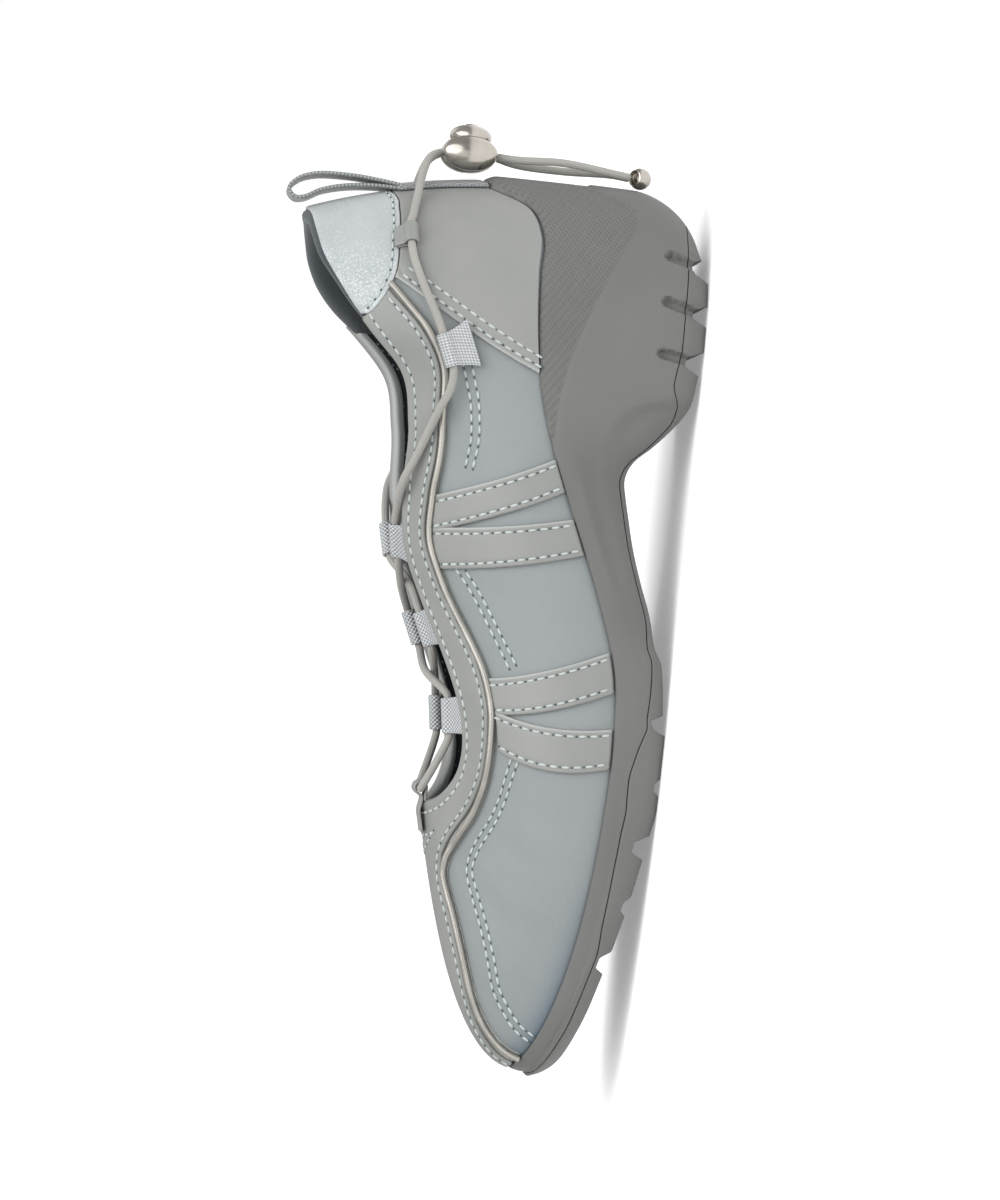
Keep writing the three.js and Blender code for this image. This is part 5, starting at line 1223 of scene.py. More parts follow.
lining_finish, tree, shader = finish_for("collar_knit", 0.85, Sheen_Weight=0.25)
chart = map_of(tree)
ribs = placed(tree, weave, {"Map": chart, "Warp": (1150, 0, 0), "Weft": (0, 1500, 0)})["Height"]
slow = placed(tree, grain, {"Place": chart, "Size": 0.002, "Patches": 0.012})["Patch"]
shade = weighed(tree, ribs, 0.5, slow)
coloured(tree, shader, shade, LINING_DARK, LINING_PALE)
raised(tree, shader, ribs, 0.0002, 0.6)

# The roll's face and its flat back over the top, as out and rise in millimetres, then its face down
# the inside, as up and out
ROLL_TOP = (
    (0.2, -0.7), (0.2, 0.2), (-0.1, 1.0), (-0.8, 1.6), (-1.8, 1.8), (-3.0, 1.6), (-4.0, 0.9), (-4.7, -0.3))
ROLL_TOP_BACK = (
    (0.1, -0.7), (0.1, 0.1), (-0.2, 0.7), (-0.7, 1.0), (-1.2, 1.0), (-1.7, 0.6), (-1.9, 0.1), (-1.9, -0.4))
ROLL_DOWN = ((0.96, -4.9), (0.91, -5.0), (0.85, -4.8), (0.79, -4.2), (0.73, -3.3), (0.68, -2.4), (0.65, -1.9))
places = np.linspace(-COLLAR_END, COLLAR_END, 171)
swell = np.sqrt(np.clip((COLLAR_END - np.abs(places)) / COLLAR_SOFT, 0, 1))
swell = (0.08 + 0.92 * swell)[:, None]
face = [over_top(places, *point) for point in ROLL_TOP] + [off_wall(places, up, out) for up, out in ROLL_DOWN]
back = [over_top(places, *point) for point in ROLL_TOP_BACK]
back += [off_wall(places, up, -UPPER_WALL - 0.08) for up, out in ROLL_DOWN]
face = np.stack([b + (f - b) * swell for f, b in zip(face, back)], 1)
back = np.stack(back, 1)
form = Form("collar_lining")
form.patch(face)
form.patch(back)
rims(form, face, back)
collar_lining = form.make(lining_finish)
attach(collar_lining, "shoe")

# Leather round the throat
# One piece of warm grey, fine-grained leather from under the collar patch, round both sides of the
# open instep and down the toe. Its throat edge is folded inside; its other edge is cut and sewn down.
EDGE_CLEAR = 0.036
COVER_LOW = 0.02
EYESTAY_BACK = 0.186
PATCH_FRONT = 0.2095
THROAT_BACK = 0.2125
EYESTAY_JOIN = 0.917
JOIN_UP = 0.838
BACK_STATIONS = 28
SIDE_STATIONS = 250
SEWN_IN = 1.7
EDGE_ROUND = 0.55
EDGE_THIN = 0.35
SEAM_DEPTH = 0.16
SEAM_SPREAD = 0.5
PALE_EDGE = 0.45
EDGE_STEP = 0.16
SEAM_STEP = 0.33
FACE_STEP = 1.3
LEATHER_PALE = tint(146, 147, 144)
LEATHER_DARK = tint(136, 138, 135)
LEATHER_EDGE = tint(184, 187, 185)
EYESTAY_EDGE = {
    "at": [0.19, 0.206, 0.223, 0.239, 0.255, 0.289, 0.322, 0.357, 0.392, 0.434, 0.465, 0.497, 0.53,
            0.563, 0.598, 0.639, 0.689, 0.752, 0.789, 0.833, 0.875, 0.905],
    "lateral": [0.735, 0.695, 0.658, 0.65, 0.665, 0.72, 0.75, 0.77, 0.803, 0.828, 0.812, 0.795, 0.752,
            0.712, 0.704, 0.734, 0.764, 0.8, 0.815, 0.828, 0.83, 0.812],
    "medial": [0.735, 0.695, 0.658, 0.65, 0.665, 0.715, 0.745, 0.765, 0.78, 0.79, 0.784, 0.768, 0.736,
            0.695, 0.682, 0.69, 0.745, 0.8, 0.826, 0.834, 0.83, 0.812],
}
TOE_STRIP = {
    "up": [1, 0.88, 0.78, 0.73, 0.66, 0.58, 0.5, 0.4, 0.3, 0.18, 0.1, 0.02],
    "at": [0.917, 0.917, 0.921, 0.92, 0.917, 0.919, 0.925, 0.937, 0.946, 0.952, 0.955, 0.957],
}
PATCH_EDGE = {
    "at": [0, 0.052, 0.08, 0.122, 0.154, 0.171, 0.193, 0.207],
    "up": [0.5, 0.554, 0.61, 0.648, 0.683, 0.723, 0.818, 0.924],
}


def leather_like(name, pale, dark, edge, roughness):
    """Satin leather with a fine grain, and a paler cut edge where the tone says so."""
    made, tree, shader = finish_for(name, roughness, Coat_Weight=0.05, Coat_Roughness=0.4)
    chart = map_of(tree)
    cut = tone_of(tree)
    hide = placed(tree, grain, {"Place": chart, "Size": 0.0007, "Patches": 0.03})
    plain = blended(tree, hide["Patch"], dark, pale)
    coloured(tree, shader, cut, plain, edge)
    tree.links.new(spread(tree, hide["Patch"], 0, 1, roughness - 0.05, roughness + 0.06), shader["Roughness"])
    raised(tree, shader, hide["Height"], 0.00006, 0.5)
    return made


def line_of(points):
    """A smooth line through places on the wall, given as (at, up)."""
    scaled = np.array(points, float) * (GIRTH, DEPTH)
    return smooth_path(scaled, 10) / (GIRTH, DEPTH)


def graded(length):
    """Shares from 0 to 1 along a length in millimetres, close together at both ends."""
    steps = [EDGE_STEP * share for share in (0, 1, 2.2, 4, 6.5)]
    while steps[-1] < SEWN_IN + 1.2:
        steps.append(steps[-1] + SEAM_STEP)
    steps = np.array(steps)
    if 2 * steps[-1] > length:
        steps = steps[steps < length * 0.45]
    middle = np.linspace(steps[-1], length - steps[-1], max(int((length - 2 * steps[-1]) / FACE_STEP), 1) + 1)
    return np.concatenate([steps[:-1], middle, length - steps[-2::-1]]) / length


def nearest(edges, points):
    """The distance from each point to the nearest of some edge lines."""
    marks = np.concatenate([even_path(edge, 0.25) for edge in edges])
    tree = kdtree.KDTree(len(marks))
    for number, mark in enumerate(marks):
        tree.insert(mark, number)
    tree.balance()
    found = np.array([tree.find(point)[2] for point in points.reshape(-1, 3)])
    return found.reshape(points.shape[:-1])


def top_out(at, up, thick, edges, sewn):
    """How far a panel's face is out from the wall: rounded at its edges, pressed in by its seams."""
    at, up = np.broadcast_arrays(at, up)
    spots = wall_point(at, up)
    near = np.clip(nearest(edges, spots) / EDGE_ROUND, 0, 1)
    round_off = EDGE_THIN + (1 - EDGE_THIN) * np.sqrt(1 - (1 - near) ** 2)
    trough = SEAM_DEPTH * np.exp(-((nearest(sewn, spots) - SEWN_IN) / SEAM_SPREAD) ** 2)
    return FIT + thick * round_off - trough


def wall_line(line):
    return wall_point(line[:, 0], line[:, 1])


def panel(form, at, up, thick, edges, sewn, pale=(), sides=("low", "high", "first", "last")):
    """A layer over the upper: its face, its back, and the walls round it on the named sides."""
    at, up = np.broadcast_arrays(at, up)
    face = off_wall(at, up, top_out(at, up, thick, edges, sewn))
    tone = np.exp(-(nearest(pale, wall_point(at, up)) / PALE_EDGE) ** 2) if pale else None
    back = off_wall(at, up, FIT)
    form.patch(face, tone=tone)
    form.patch(back, chart=chart_of(face))
    rims(form, face, back, sides, tone)


def cut_wall(form, at, up, edges, sewn):
    """The throat leather's own wall along a line of places, from its face to its back."""
    face = off_wall(at, up, top_out(at, up, LEATHER, edges, sewn))
    form.patch(np.stack([face, off_wall(at, up, FIT)], 1))


patch_places = list(zip(PATCH_EDGE["at"], PATCH_EDGE["up"]))
patch_line = line_of(patch_places + [(PATCH_FRONT, 0.96), (THROAT_BACK, 1.0)])


def patch_low(at):
    return np.interp(np.abs(at), patch_line[:, 0], patch_line[:, 1])


def strap(form, path, across, widths, thick):
    """A closed ribbon with rounded edges along a path; across is the way of its width."""
    way = unit(np.gradient(path, axis=0))
    across = np.broadcast_to(across, path.shape)
    across = unit(across - way * (across * way).sum(-1, keepdims=True))
    over = np.cross(across, way)
    half = np.broadcast_to(np.asarray(widths, float), len(path)) / 2
    turns = np.linspace(0, math.pi, 6)
    round_edge = [(math.sin(turn), math.cos(turn)) for turn in turns]
    flat = np.linspace(1, -1, 9)[1:-1]
    section = [(1, wide, high) for wide, high in round_edge] + [(place, 0, -1) for place in flat]
    section += [(-1, -wide, -high) for wide, high in round_edge] + [(-place, 0, 1) for place in flat]
    section.append(section[0])
    rows = []
    for place, wide, high in section:
        aside = (half - thick / 2) * place + thick / 2 * wide
        rows.append(path + across * aside[:, None] + over * (thick / 2 * high))
    grid = np.stack(rows, 1)
    form.patch(grid)
    for end in (0, -1):
        form.patch(np.stack([grid[end], np.repeat(path[end][None], grid.shape[1], 0)]))


leather_finish = leather_like("leather", LEATHER_PALE, LEATHER_DARK, LEATHER_EDGE, 0.46)

# The piping's line and the leather's own cut edge beside it, on both sides
pipe_lines, leather_lines = {}, {}
for side, key in ((1, "lateral"), (-1, "medial")):
    edge = [(0.181, 0.757)] + list(zip(EYESTAY_EDGE["at"], EYESTAY_EDGE[key]))
    strip = list(zip(TOE_STRIP["at"], TOE_STRIP["up"]))[2:]
    inner = [(at, up + EDGE_CLEAR) for at, up in edge]
    inner_strip = [(at + EDGE_CLEAR * 0.4, up) for at, up in strip]
    pipe_lines[side] = line_of(edge + strip)
    leather_lines[side] = line_of(inner + [(EYESTAY_JOIN, JOIN_UP)] + inner_strip)


def mirrored(line, side):
    return line if side > 0 else np.stack([2 - line[:, 0], line[:, 1]], -1)


back_at = np.linspace(EYESTAY_BACK, THROAT_BACK, BACK_STATIONS)
side_at = np.concatenate([back_at, np.linspace(THROAT_BACK + 0.002, EYESTAY_JOIN, SIDE_STATIONS)])
across_share = graded(17.0)
edges = []
for side in (1, -1):
    line = leather_lines[side]
    line = line[line[:, 0] >= EYESTAY_BACK]
    edges.append(wall_line(mirrored(line, side)))
    end_up = np.linspace(line[0, 1], patch_low(EYESTAY_BACK), 5)
    edges.append(wall_line(np.stack([np.full(5, place_on(side, EYESTAY_BACK)), end_up], -1)))
throat = wall_point(np.linspace(THROAT_BACK, 2 - THROAT_BACK, 500), 1.0)
sewn = edges[::2] + [throat]

strip_up = np.linspace(JOIN_UP, COVER_LOW, 92)
form = Form("eyestay_leather")
for side in (1, -1):
    line = leather_lines[side]
    before = line[: np.argmax(line[:, 0] >= EYESTAY_JOIN) + 1]
    low = np.interp(side_at, before[:, 0], before[:, 1])
    low[-1] = strip_up[0]
    high = np.where(side_at < THROAT_BACK, np.maximum(patch_low(side_at) - 0.006, low + 0.004), 1.0)
    up = low[:, None] + (high - low)[:, None] * across_share[None, :]
    at = place_on(side, side_at)[:, None] + np.zeros_like(up)
    panel(form, at, up, LEATHER, edges, sewn, sides=("low", "first"))
    behind = slice(0, BACK_STATIONS + 1)
    cut_wall(form, at[behind, -1], up[behind, -1], edges, sewn)
join_up = 1 - (1 - strip_up[0]) * across_share
block_up = np.concatenate([join_up, strip_up[1:]])
after = {side: leather_lines[side][np.argmax(leather_lines[side][:, 0] >= EYESTAY_JOIN):] for side in (1, -1)}
low_at = np.interp(-block_up, -after[1][:, 1], after[1][:, 0])
low_at[: len(join_up)] = EYESTAY_JOIN
share = graded(40.0)[None, :]
block_at = low_at[:, None] + (2 - 2 * low_at[:, None]) * share
block_up = block_up[:, None] + np.zeros_like(block_at)
panel(form, block_at, block_up, LEATHER, edges, sewn, sides=("last",))
# The strip's own two cut edges, below the join
for cut in (0, -1):
    rows = slice(len(join_up) - 1, None)
    cut_wall(form, block_at[rows, cut], block_up[rows, cut], edges, sewn)

# The fold over the throat's edge: over the top and 2 mm down the inside, then back under itself
fold_in = -UPPER_WALL - 0.5
lining_face = -UPPER_WALL - 0.06
over_rim = side_at[side_at > THROAT_BACK + 0.0015]
rim_at = np.concatenate([over_rim[:-1], block_at[0], 2 - over_rim[-2::-1]])
rim_out = top_out(rim_at, np.ones_like(rim_at), LEATHER, edges, sewn)
section = []
for turn in np.linspace(0, math.pi, 10):
    centre, size = (rim_out + fold_in) / 2, (rim_out - fold_in) / 2
    section.append(over_top(rim_at, centre + size * math.cos(turn), size * 0.7 * math.sin(turn)))
inside = ((fold_in, -0.7), (fold_in, -1.6), (fold_in + 0.15, -2.0), (lining_face, -1.8), (lining_face, 0.0))
section += [over_top(rim_at, out, rise) for out, rise in inside]
for turn in np.linspace(math.pi * 0.85, 0, 7):
    section.append(over_top(rim_at, -0.78 + 1.13 * math.cos(turn), 1.0 * math.sin(turn)))
folded = np.clip((np.arange(len(section)) - 4) / 3, 0, 1)[None, :] * np.ones((len(rim_at), 1))
form.patch(np.stack(section, 1), tone=folded)

# The tunnel: a tab of the leather that goes round the lace and back under the vamp's edge
lace_row = LACE_THROAT["name"].index("tunnel")
middle = throat_point(lace_row)
seam, far = off_wall(1.0, 0.985, FIT + LEATHER + 0.3), off_wall(1.0, 0.93, FIT + LEATHER + 0.35)
tucked = over_top(np.array(1.0), -0.4, 0.9)
toward = unit((tucked - middle) * (1, 0, 1))
over = np.array([-toward[2], 0, toward[0]])
ring = LACE_RADIUS + 0.15 + 0.45
turns = np.radians(np.linspace(58, 302, 18))
route = [far, (far + seam) / 2, seam, middle + toward * ring * 1.5 + over * 0.55]
route += [middle + toward * ring * math.cos(t) + over * ring * math.sin(t) for t in turns]
route += [middle + toward * ring * 1.5 - over * 0.45, tucked]
path = even_path(smooth_path(route, 5), 0.5)
strap(form, path, np.array([0.0, 1.0, 0.0]), TUNNEL_WIDTH, 0.85)
eyestay = form.make(leather_finish)
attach(eyestay, "shoe")
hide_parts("eyestay")

# Heel counter
# Two quarters of the same leather that meet under the heel's tape, stiffened inside, reaching from
# the sole up to the patch and forward to a slanted seam with two rows of stitches.
COUNTER_TIP = 0.2565
COUNTER_SEAM = 0.1705
PATCH_CLEAR = 0.006
COUNTER_FRONT = {
    "up": [0, 0.231, 0.393, 0.52, 0.637, 0.76],
    "at": [0.258, 0.242, 0.226, 0.209, 0.191, 0.168],
}

counter_line = line_of(list(zip(COUNTER_FRONT["at"], COUNTER_FRONT["up"]))[::-1])


def counter_high(at):
    front = np.interp(np.abs(at), counter_line[:, 0], counter_line[:, 1])
    return np.minimum(patch_low(at) - PATCH_CLEAR, front)


half_at = np.concatenate([np.linspace(0, 0.15, 48), np.linspace(0.1515, COUNTER_TIP, 90)])
at = np.concatenate([-half_at[:0:-1], half_at])
high = counter_high(at)
share = graded(44.0)[None, :]
front = np.array([(place, counter_high(place)) for place in np.linspace(COUNTER_SEAM, COUNTER_TIP, 80)])
edges = [wall_line(front * (sign, 1)) for sign in (1, -1)]
top = np.stack([at, high], -1)
form = Form("counter_leather")
up = COVER_LOW + (high[:, None] - COVER_LOW) * share
panel(form, at[:, None] + np.zeros_like(up), up, LEATHER, edges + [wall_line(top)], edges, pale=edges)
counter = form.make(leather_finish)
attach(counter, "shoe")
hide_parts("heel_counter")

# Collar patch
# Pale suede with a sparkling nap, lapped over the counter and the throat leather's back ends and
# round the whole collar. Its cut edge is paler, with one row of stitches beside it.
SUEDE = 0.9
SUEDE_PALE = tint(174, 179, 180)
SUEDE_DARK = tint(166, 172, 174)
SUEDE_EDGE = tint(206, 210, 210)
SPARK = tint(236, 240, 242)

suede_finish, tree, shader = finish_for("suede", 0.75, Sheen_Weight=0.35)
chart = map_of(tree)
cut = tone_of(tree)
nap = placed(tree, grain, {"Place": chart, "Size": 0.0004, "Patches": 0.008})
cells = node(tree, "ShaderNodeTexVoronoi", {"Vector": chart, "Scale": 3600.0})
chance = node(tree, "ShaderNodeSeparateColor", {0: cells.outputs["Color"]}).outputs[1]
spark = maths(tree, "GREATER_THAN", chance, 0.8)
plain = blended(tree, nap["Patch"], SUEDE_DARK, SUEDE_PALE)
plain = blended(tree, maths(tree, "MULTIPLY", spark, 0.3), plain, SPARK)
coloured(tree, shader, cut, plain, SUEDE_EDGE)
tree.links.new(maths(tree, "MULTIPLY", spark, 0.35), shader["Metallic"])
tree.links.new(spread(tree, spark, 0, 1, 0.78, 0.4), shader["Roughness"])
raised(tree, shader, nap["Height"], 0.00008, 0.6)

half_at = np.concatenate([np.linspace(0, 0.165, 70), np.linspace(0.1665, PATCH_FRONT, 44)])
at = np.concatenate([-half_at[:0:-1], half_at])
low = patch_low(at)
share = graded(22.0)[None, :]
up = low[:, None] + (1 - low[:, None]) * share
cut_edge = wall_line(np.stack([at, low], -1))
ends = [wall_line(np.array([(sign * PATCH_FRONT, up) for up in np.linspace(0.95, 1, 5)])) for sign in (1, -1)]
form = Form("patch_suede")
rim = [wall_point(at, 1.0)]
panel(form, at[:, None] + np.zeros_like(up), up, SUEDE, [cut_edge] + ends + rim, [cut_edge], pale=[cut_edge])
patch = form.make(suede_finish)
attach(patch, "shoe")
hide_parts("collar_patch")

# Side bands
# Eight strips of the same leather, two to a V on each side, laid over the cloth from the sole's edge
# to the piping. Each is sewn along both edges; its raw edge to the heel's side shows pale.
# Each strip's two ends, the lower and the upper, as its back and front edge's at
BANDS = {
    "rear": (((0.339, 0.370), (0.390, 0.428)), ((0.395, 0.429), (0.424, 0.466))),
    "front": (((0.520, 0.559), (0.571, 0.608)), ((0.593, 0.632), (0.604, 0.650))),
}


def pipe_up(side, at):
    """The piping's height along the side, before the toe strip."""
    line = pipe_lines[side][:150]
    return np.interp(at, line[:, 0], line[:, 1])


for side, side_name in ((1, "lateral"), (-1, "medial")):
    for name, strips in BANDS.items():
        form = Form("band_%s_%s" % (name, side_name))
        for low_ends, high_ends in strips:
            share = graded(10.5)[:, None]
            rise = np.linspace(0, 1, 60)[None, :]
            end = high_ends[0] + (high_ends[1] - high_ends[0]) * share
            start = low_ends[0] + (low_ends[1] - low_ends[0]) * share
            top = pipe_up(side, end) - 0.012
            up = COVER_LOW + (top - COVER_LOW) * rise
            at = place_on(side, start + (end - start) * rise)
            raw = wall_point(at[0], up[0])
            fair = wall_point(at[-1], up[-1])
            end_edge = wall_point(at[:, -1], up[:, -1])
            panel(form, at, up, LEATHER, [raw, fair, end_edge], [raw, fair], pale=[raw])
        band = form.make(leather_finish)
        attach(band, "shoe")
        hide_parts("side_band_%s_%s" % (name, side_name))

# Piping
# A round cord in champagne metallic cloth along the throat leather's lower edge and down both edges
# of the toe strip; its pale raw flange shows between the cord and the leather.
PIPING_RADIUS = 1.0
PIPE_PALE = tint(198, 195, 188)
PIPE_DARK = tint(152, 149, 142)
FLANGE = tint(188, 189, 184)

piping_finish, tree, shader = finish_for("champagne_cloth", 0.34, Metallic=0.8)
chart = map_of(tree)
threads = placed(tree, weave, {"Map": chart, "Warp": (1300, 800, 0), "Weft": (1300, -800, 0)})["Height"]
slow = placed(tree, grain, {"Place": chart, "Size": 0.003, "Patches": 0.01})["Patch"]
shade = weighed(tree, threads, 0.5, slow)
coloured(tree, shader, shade, PIPE_DARK, PIPE_PALE)
raised(tree, shader, threads, 0.0001, 0.6)
flange_finish, tree, shader = finish_for("pale_flange", 0.7, Metallic=0.25)
chart = map_of(tree)
rough = placed(tree, grain, {"Place": chart, "Size": 0.0006, "Patches": 0.004})
coloured(tree, shader, rough["Patch"], LEATHER_DARK, FLANGE)
raised(tree, shader, rough["Height"], 0.0002, 0.8)

for side, side_name in ((1, "lateral"), (-1, "medial")):
    line, leather = pipe_lines[side], leather_lines[side]
    at, up = place_on(side, line[:, 0]), line[:, 1]
    path = even_path(off_wall(at, up, FIT + PIPING_RADIUS + 0.1), 0.9)
    form = Form("piping_cord_" + side_name)
    closed_tube(form, path, PIPING_RADIUS, 12)
    new, old = np.linspace(0, 1, len(line)), np.linspace(0, 1, len(leather))
    leather = np.stack([np.interp(new, old, leather[:, k]) for k in (0, 1)], -1)
    strip = np.stack([line + (leather - line) * share for share in np.linspace(-0.25, 1.5, 8)], 1)
    strip_at = place_on(side, strip[..., 0])
    face = off_wall(strip_at, np.minimum(strip[..., 1], 1), 0.3)
    back = off_wall(strip_at, np.minimum(strip[..., 1], 1), 0.06)
    form.patch(face, slot=1)
    form.patch(back, slot=1)
    rims(form, face, back, slot=1)
    piping = form.make(piping_finish, flange_finish)
    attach(piping, "shoe")
    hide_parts("piping_" + side_name)

# Seams
# Lockstitch in thick mint-grey polyester thread, one stitch every 3.2 mm, with a small dark disc
# between each two as the needle hole's painted shade. Single rows hold the panels' edges; double rows
# hold the counter's front and, through cloth and lining, the toe's stiffener and the backs of the bands.
THREAD = tint(194, 203, 200)
THREAD_DARK = tint(180, 190, 187)
HOLE_SHADE = tint(70, 82, 88)
HOLE_SHADE_PALE = tint(98, 108, 112)
STITCH_PITCH = 3.2
STITCH_LENGTH = 2.5
STITCH_THICK = 0.8
HOLE_SIZE = (0.42 * MM, 0.36 * MM, 0.14 * MM)
PAIR = 1.25

thread_finish, tree, shader = finish_for("thread", 0.6, Sheen_Weight=0.1)
spot = spot_of(tree)
twist = placed(tree, grain, {"Place": spot, "Size": 0.0003, "Patches": 0.01})
coloured(tree, shader, twist["Patch"], THREAD_DARK, THREAD)
raised(tree, shader, twist["Height"], 0.00005, 0.5)
# Needle holes: small dark discs whose colour is painted shade, varied in random patches
hole_shade_finish, tree, shader = finish_for("needle_hole_shade", 0.9)
spot = spot_of(tree)
hole_shade_patches = placed(tree, grain, {"Place": spot, "Size": 0.0005, "Patches": 0.01})["Patch"]
coloured(tree, shader, hole_shade_patches, HOLE_SHADE, HOLE_SHADE_PALE)


def beside(line, distance):
    """A line on the wall, held a distance in millimetres to the right of another's way."""
    at, up = line[:, 0], np.minimum(line[:, 1], 0.995)
    step = 0.003
    along = (wall_point(at + step, up) - wall_point(at - step, up)) / (2 * step)
    rise = (wall_point(at, up + step) - wall_point(at, up - step)) / (2 * step)
    turn = np.gradient(line, axis=0)
    way = along * turn[:, :1] + rise * turn[:, 1:]
    aside = unit(np.cross(wall_normal(at, up), way))
    first, mixed, second = (along * along).sum(-1), (along * rise).sum(-1), (rise * rise).sum(-1)
    by_along, by_rise = (along * aside).sum(-1), (rise * aside).sum(-1)
    whole = first * second - mixed * mixed
    moved = np.stack([by_along * second - by_rise * mixed, by_rise * first - by_along * mixed], -1)
    return line + moved / whole[:, None] * distance


seam_rows = []


def sew(line, height):
    """Keeps a row of stitches along a line on the wall, at a height over it."""
    points = off_wall(line[:, 0], line[:, 1], height)
    seam_rows.append((points, wall_normal(line[:, 0], line[:, 1])))


def trimmed(line, first, last):
    """The part of a line between two distances from its ends, in millimetres."""
    steps = np.append(0, np.cumsum(np.linalg.norm(np.diff(wall_line(line), axis=0), axis=1)))
    keep = (steps > first) & (steps < steps[-1] - last)
    return line[keep]


on_leather = FIT + LEATHER + 0.02
on_cloth = 0.16
CLOTH_SEAMS = (
    (1, ((0.253, 0.504), (0.272, 0.516), (0.289, 0.513), (0.322, 0.529), (0.352, 0.575))),
    (1, ((0.461, 0.690), (0.475, 0.650), (0.490, 0.622), (0.522, 0.573), (0.545, 0.535))),
    (1, ((0.638, 0.560), (0.665, 0.600), (0.717, 0.653), (0.786, 0.717), (0.822, 0.727), (0.851, 0.706),
         (0.855, 0.634), (0.858, 0.526), (0.872, 0.407), (0.896, 0.301), (0.906, 0.224), (0.918, 0.130),
         (0.926, 0.043))),
    (-1, ((0.253, 0.504), (0.272, 0.516), (0.289, 0.513), (0.322, 0.529), (0.352, 0.575))),
    (-1, ((0.461, 0.670), (0.475, 0.640), (0.490, 0.612), (0.522, 0.563), (0.545, 0.530))),
    (-1, ((0.655, 0.620), (0.698, 0.705), (0.753, 0.752), (0.809, 0.733), (0.845, 0.740), (0.867, 0.716),
          (0.878, 0.603), (0.918, 0.401), (0.944, 0.125))),
)
for side, places in CLOTH_SEAMS:
    line = mirrored(line_of(places), side)
    for aside in (-PAIR, PAIR):
        sew(beside(line, aside), on_cloth)
for side in (1, -1):
    line = leather_lines[side]
    line = mirrored(line[line[:, 0] > 0.192], side)
    sew(trimmed(beside(line, -SEWN_IN * side), 0, 1.5), on_leather - 0.1)
    front = mirrored(counter_line[counter_line[:, 1] < patch_low(counter_line[:, 0]) - 0.02], side)
    for aside in (SEWN_IN, SEWN_IN + 2.6):
        sew(trimmed(beside(front, aside * side), 0.5, 2.0), on_leather - 0.1)
    for name, strips in BANDS.items():
        for low_ends, high_ends in strips:
            for number, inward in ((0, 1), (1, -1)):
                low_end = np.array([low_ends[number], COVER_LOW])
                high_end = np.array([high_ends[number], pipe_up(side, high_ends[number]) - 0.03])
                line = low_end + (high_end - low_end) * np.linspace(0, 1, 40)[:, None]
                line = beside(mirrored(line, side), SEWN_IN * inward * side)
                sew(trimmed(line, 1.5, 0.5), on_leather - 0.1)
rim = np.stack([np.linspace(THROAT_BACK + 0.004, 2 - THROAT_BACK - 0.004, 300), np.full(300, 0.995)], -1)
sew(beside(rim, SEWN_IN + 0.3), on_leather - 0.1)
at = np.linspace(-PATCH_FRONT, PATCH_FRONT, 160)
line = np.stack([at, patch_low(at)], -1)
sew(trimmed(beside(line, -SEWN_IN), 2, 2), FIT + SUEDE - 0.05)
# The small triangle on the vamp, over the tunnel's tab
search_at, search_up = np.meshgrid(np.linspace(0.9, 1.1, 201), np.linspace(0.7, 1, 121), indexing="ij")
searched = wall_point(search_at, search_up)


def place_under(x, y):
    found = np.argmin((searched[..., 0] - x) ** 2 + (searched[..., 1] - y) ** 2)
    return search_at.reshape(-1)[found], search_up.reshape(-1)[found]


corners = [place_under(*spot) for spot in ((200, 9.5), (199.5, -9), (206, 0), (200, 9.5))]
for first, last in zip(corners, corners[1:]):
    share = np.linspace(0.04, 0.96, 20)[:, None]
    sew(np.array(first) * (1 - share) + np.array(last) * share, on_leather)

# The rows as loose edges, with the wall's own direction kept at each point
row_mesh = bpy.data.meshes.new("seam_rows")
points = np.concatenate([row for row, way in seam_rows]) - np.array([ORIGIN_ALONG, 0, 0])
links, start = [], 0
for row, way in seam_rows:
    links += [(start + i, start + i + 1) for i in range(len(row) - 1)]
    start += len(row)
row_mesh.from_pydata((points * MM).tolist(), links, [])
facing = row_mesh.attributes.new("facing", "FLOAT_VECTOR", "POINT")
ways = np.concatenate([way for row, way in seam_rows]).astype(np.float32)
facing.data.foreach_set("vector", ways.reshape(-1))
rows_object = shown("seam_rows", row_mesh)

sewing = bpy.data.node_groups.new("stitching", "GeometryNodeTree")
sewing.is_modifier = True
sewing.interface.new_socket("Rows", in_out="INPUT", socket_type="NodeSocketGeometry")
for label, value in (("Pitch", STITCH_PITCH), ("Long", STITCH_LENGTH), ("Thick", STITCH_THICK)):
    socket = sewing.interface.new_socket(label, in_out="INPUT", socket_type="NodeSocketFloat")
    socket.default_value = value * MM
sewing.interface.new_socket("Stitches", in_out="OUTPUT", socket_type="NodeSocketGeometry")
given = sewing.nodes.new("NodeGroupInput").outputs
curves = node(sewing, "GeometryNodeMeshToCurve", {0: given["Rows"]}).outputs[0]
spaced = {"Curve": curves, "Length": given["Pitch"]}
resample = node(sewing, "GeometryNodeResampleCurve", spaced, mode="LENGTH")
half_long = maths(sewing, "MULTIPLY", given["Long"], 0.5)
half_thick = maths(sewing, "MULTIPLY", given["Thick"], 0.5)
sizes = node(sewing, "ShaderNodeCombineXYZ", {0: half_long, 1: half_thick, 2: half_thick}).outputs[0]
ball = node(sewing, "GeometryNodeMeshUVSphere", {"Segments": 8, "Rings": 5, "Radius": 1.0}).outputs[0]
thread = node(sewing, "GeometryNodeTransform", {"Geometry": ball, "Scale": sizes}).outputs[0]
thread = node(sewing, "GeometryNodeSetMaterial", {"Geometry": thread, "Material": thread_finish}).outputs[0]
hole_sizes = node(sewing, "ShaderNodeCombineXYZ", dict(enumerate(HOLE_SIZE))).outputs[0]
half_pitch = maths(sewing, "MULTIPLY", given["Pitch"], 0.5)
hole_place = node(sewing, "ShaderNodeCombineXYZ", {0: half_pitch}).outputs[0]
disc = node(sewing, "GeometryNodeMeshUVSphere", {"Segments": 7, "Rings": 4, "Radius": 1.0}).outputs[0]
hole = node(sewing, "GeometryNodeTransform",
            {"Geometry": disc, "Scale": hole_sizes, "Translation": hole_place}).outputs[0]
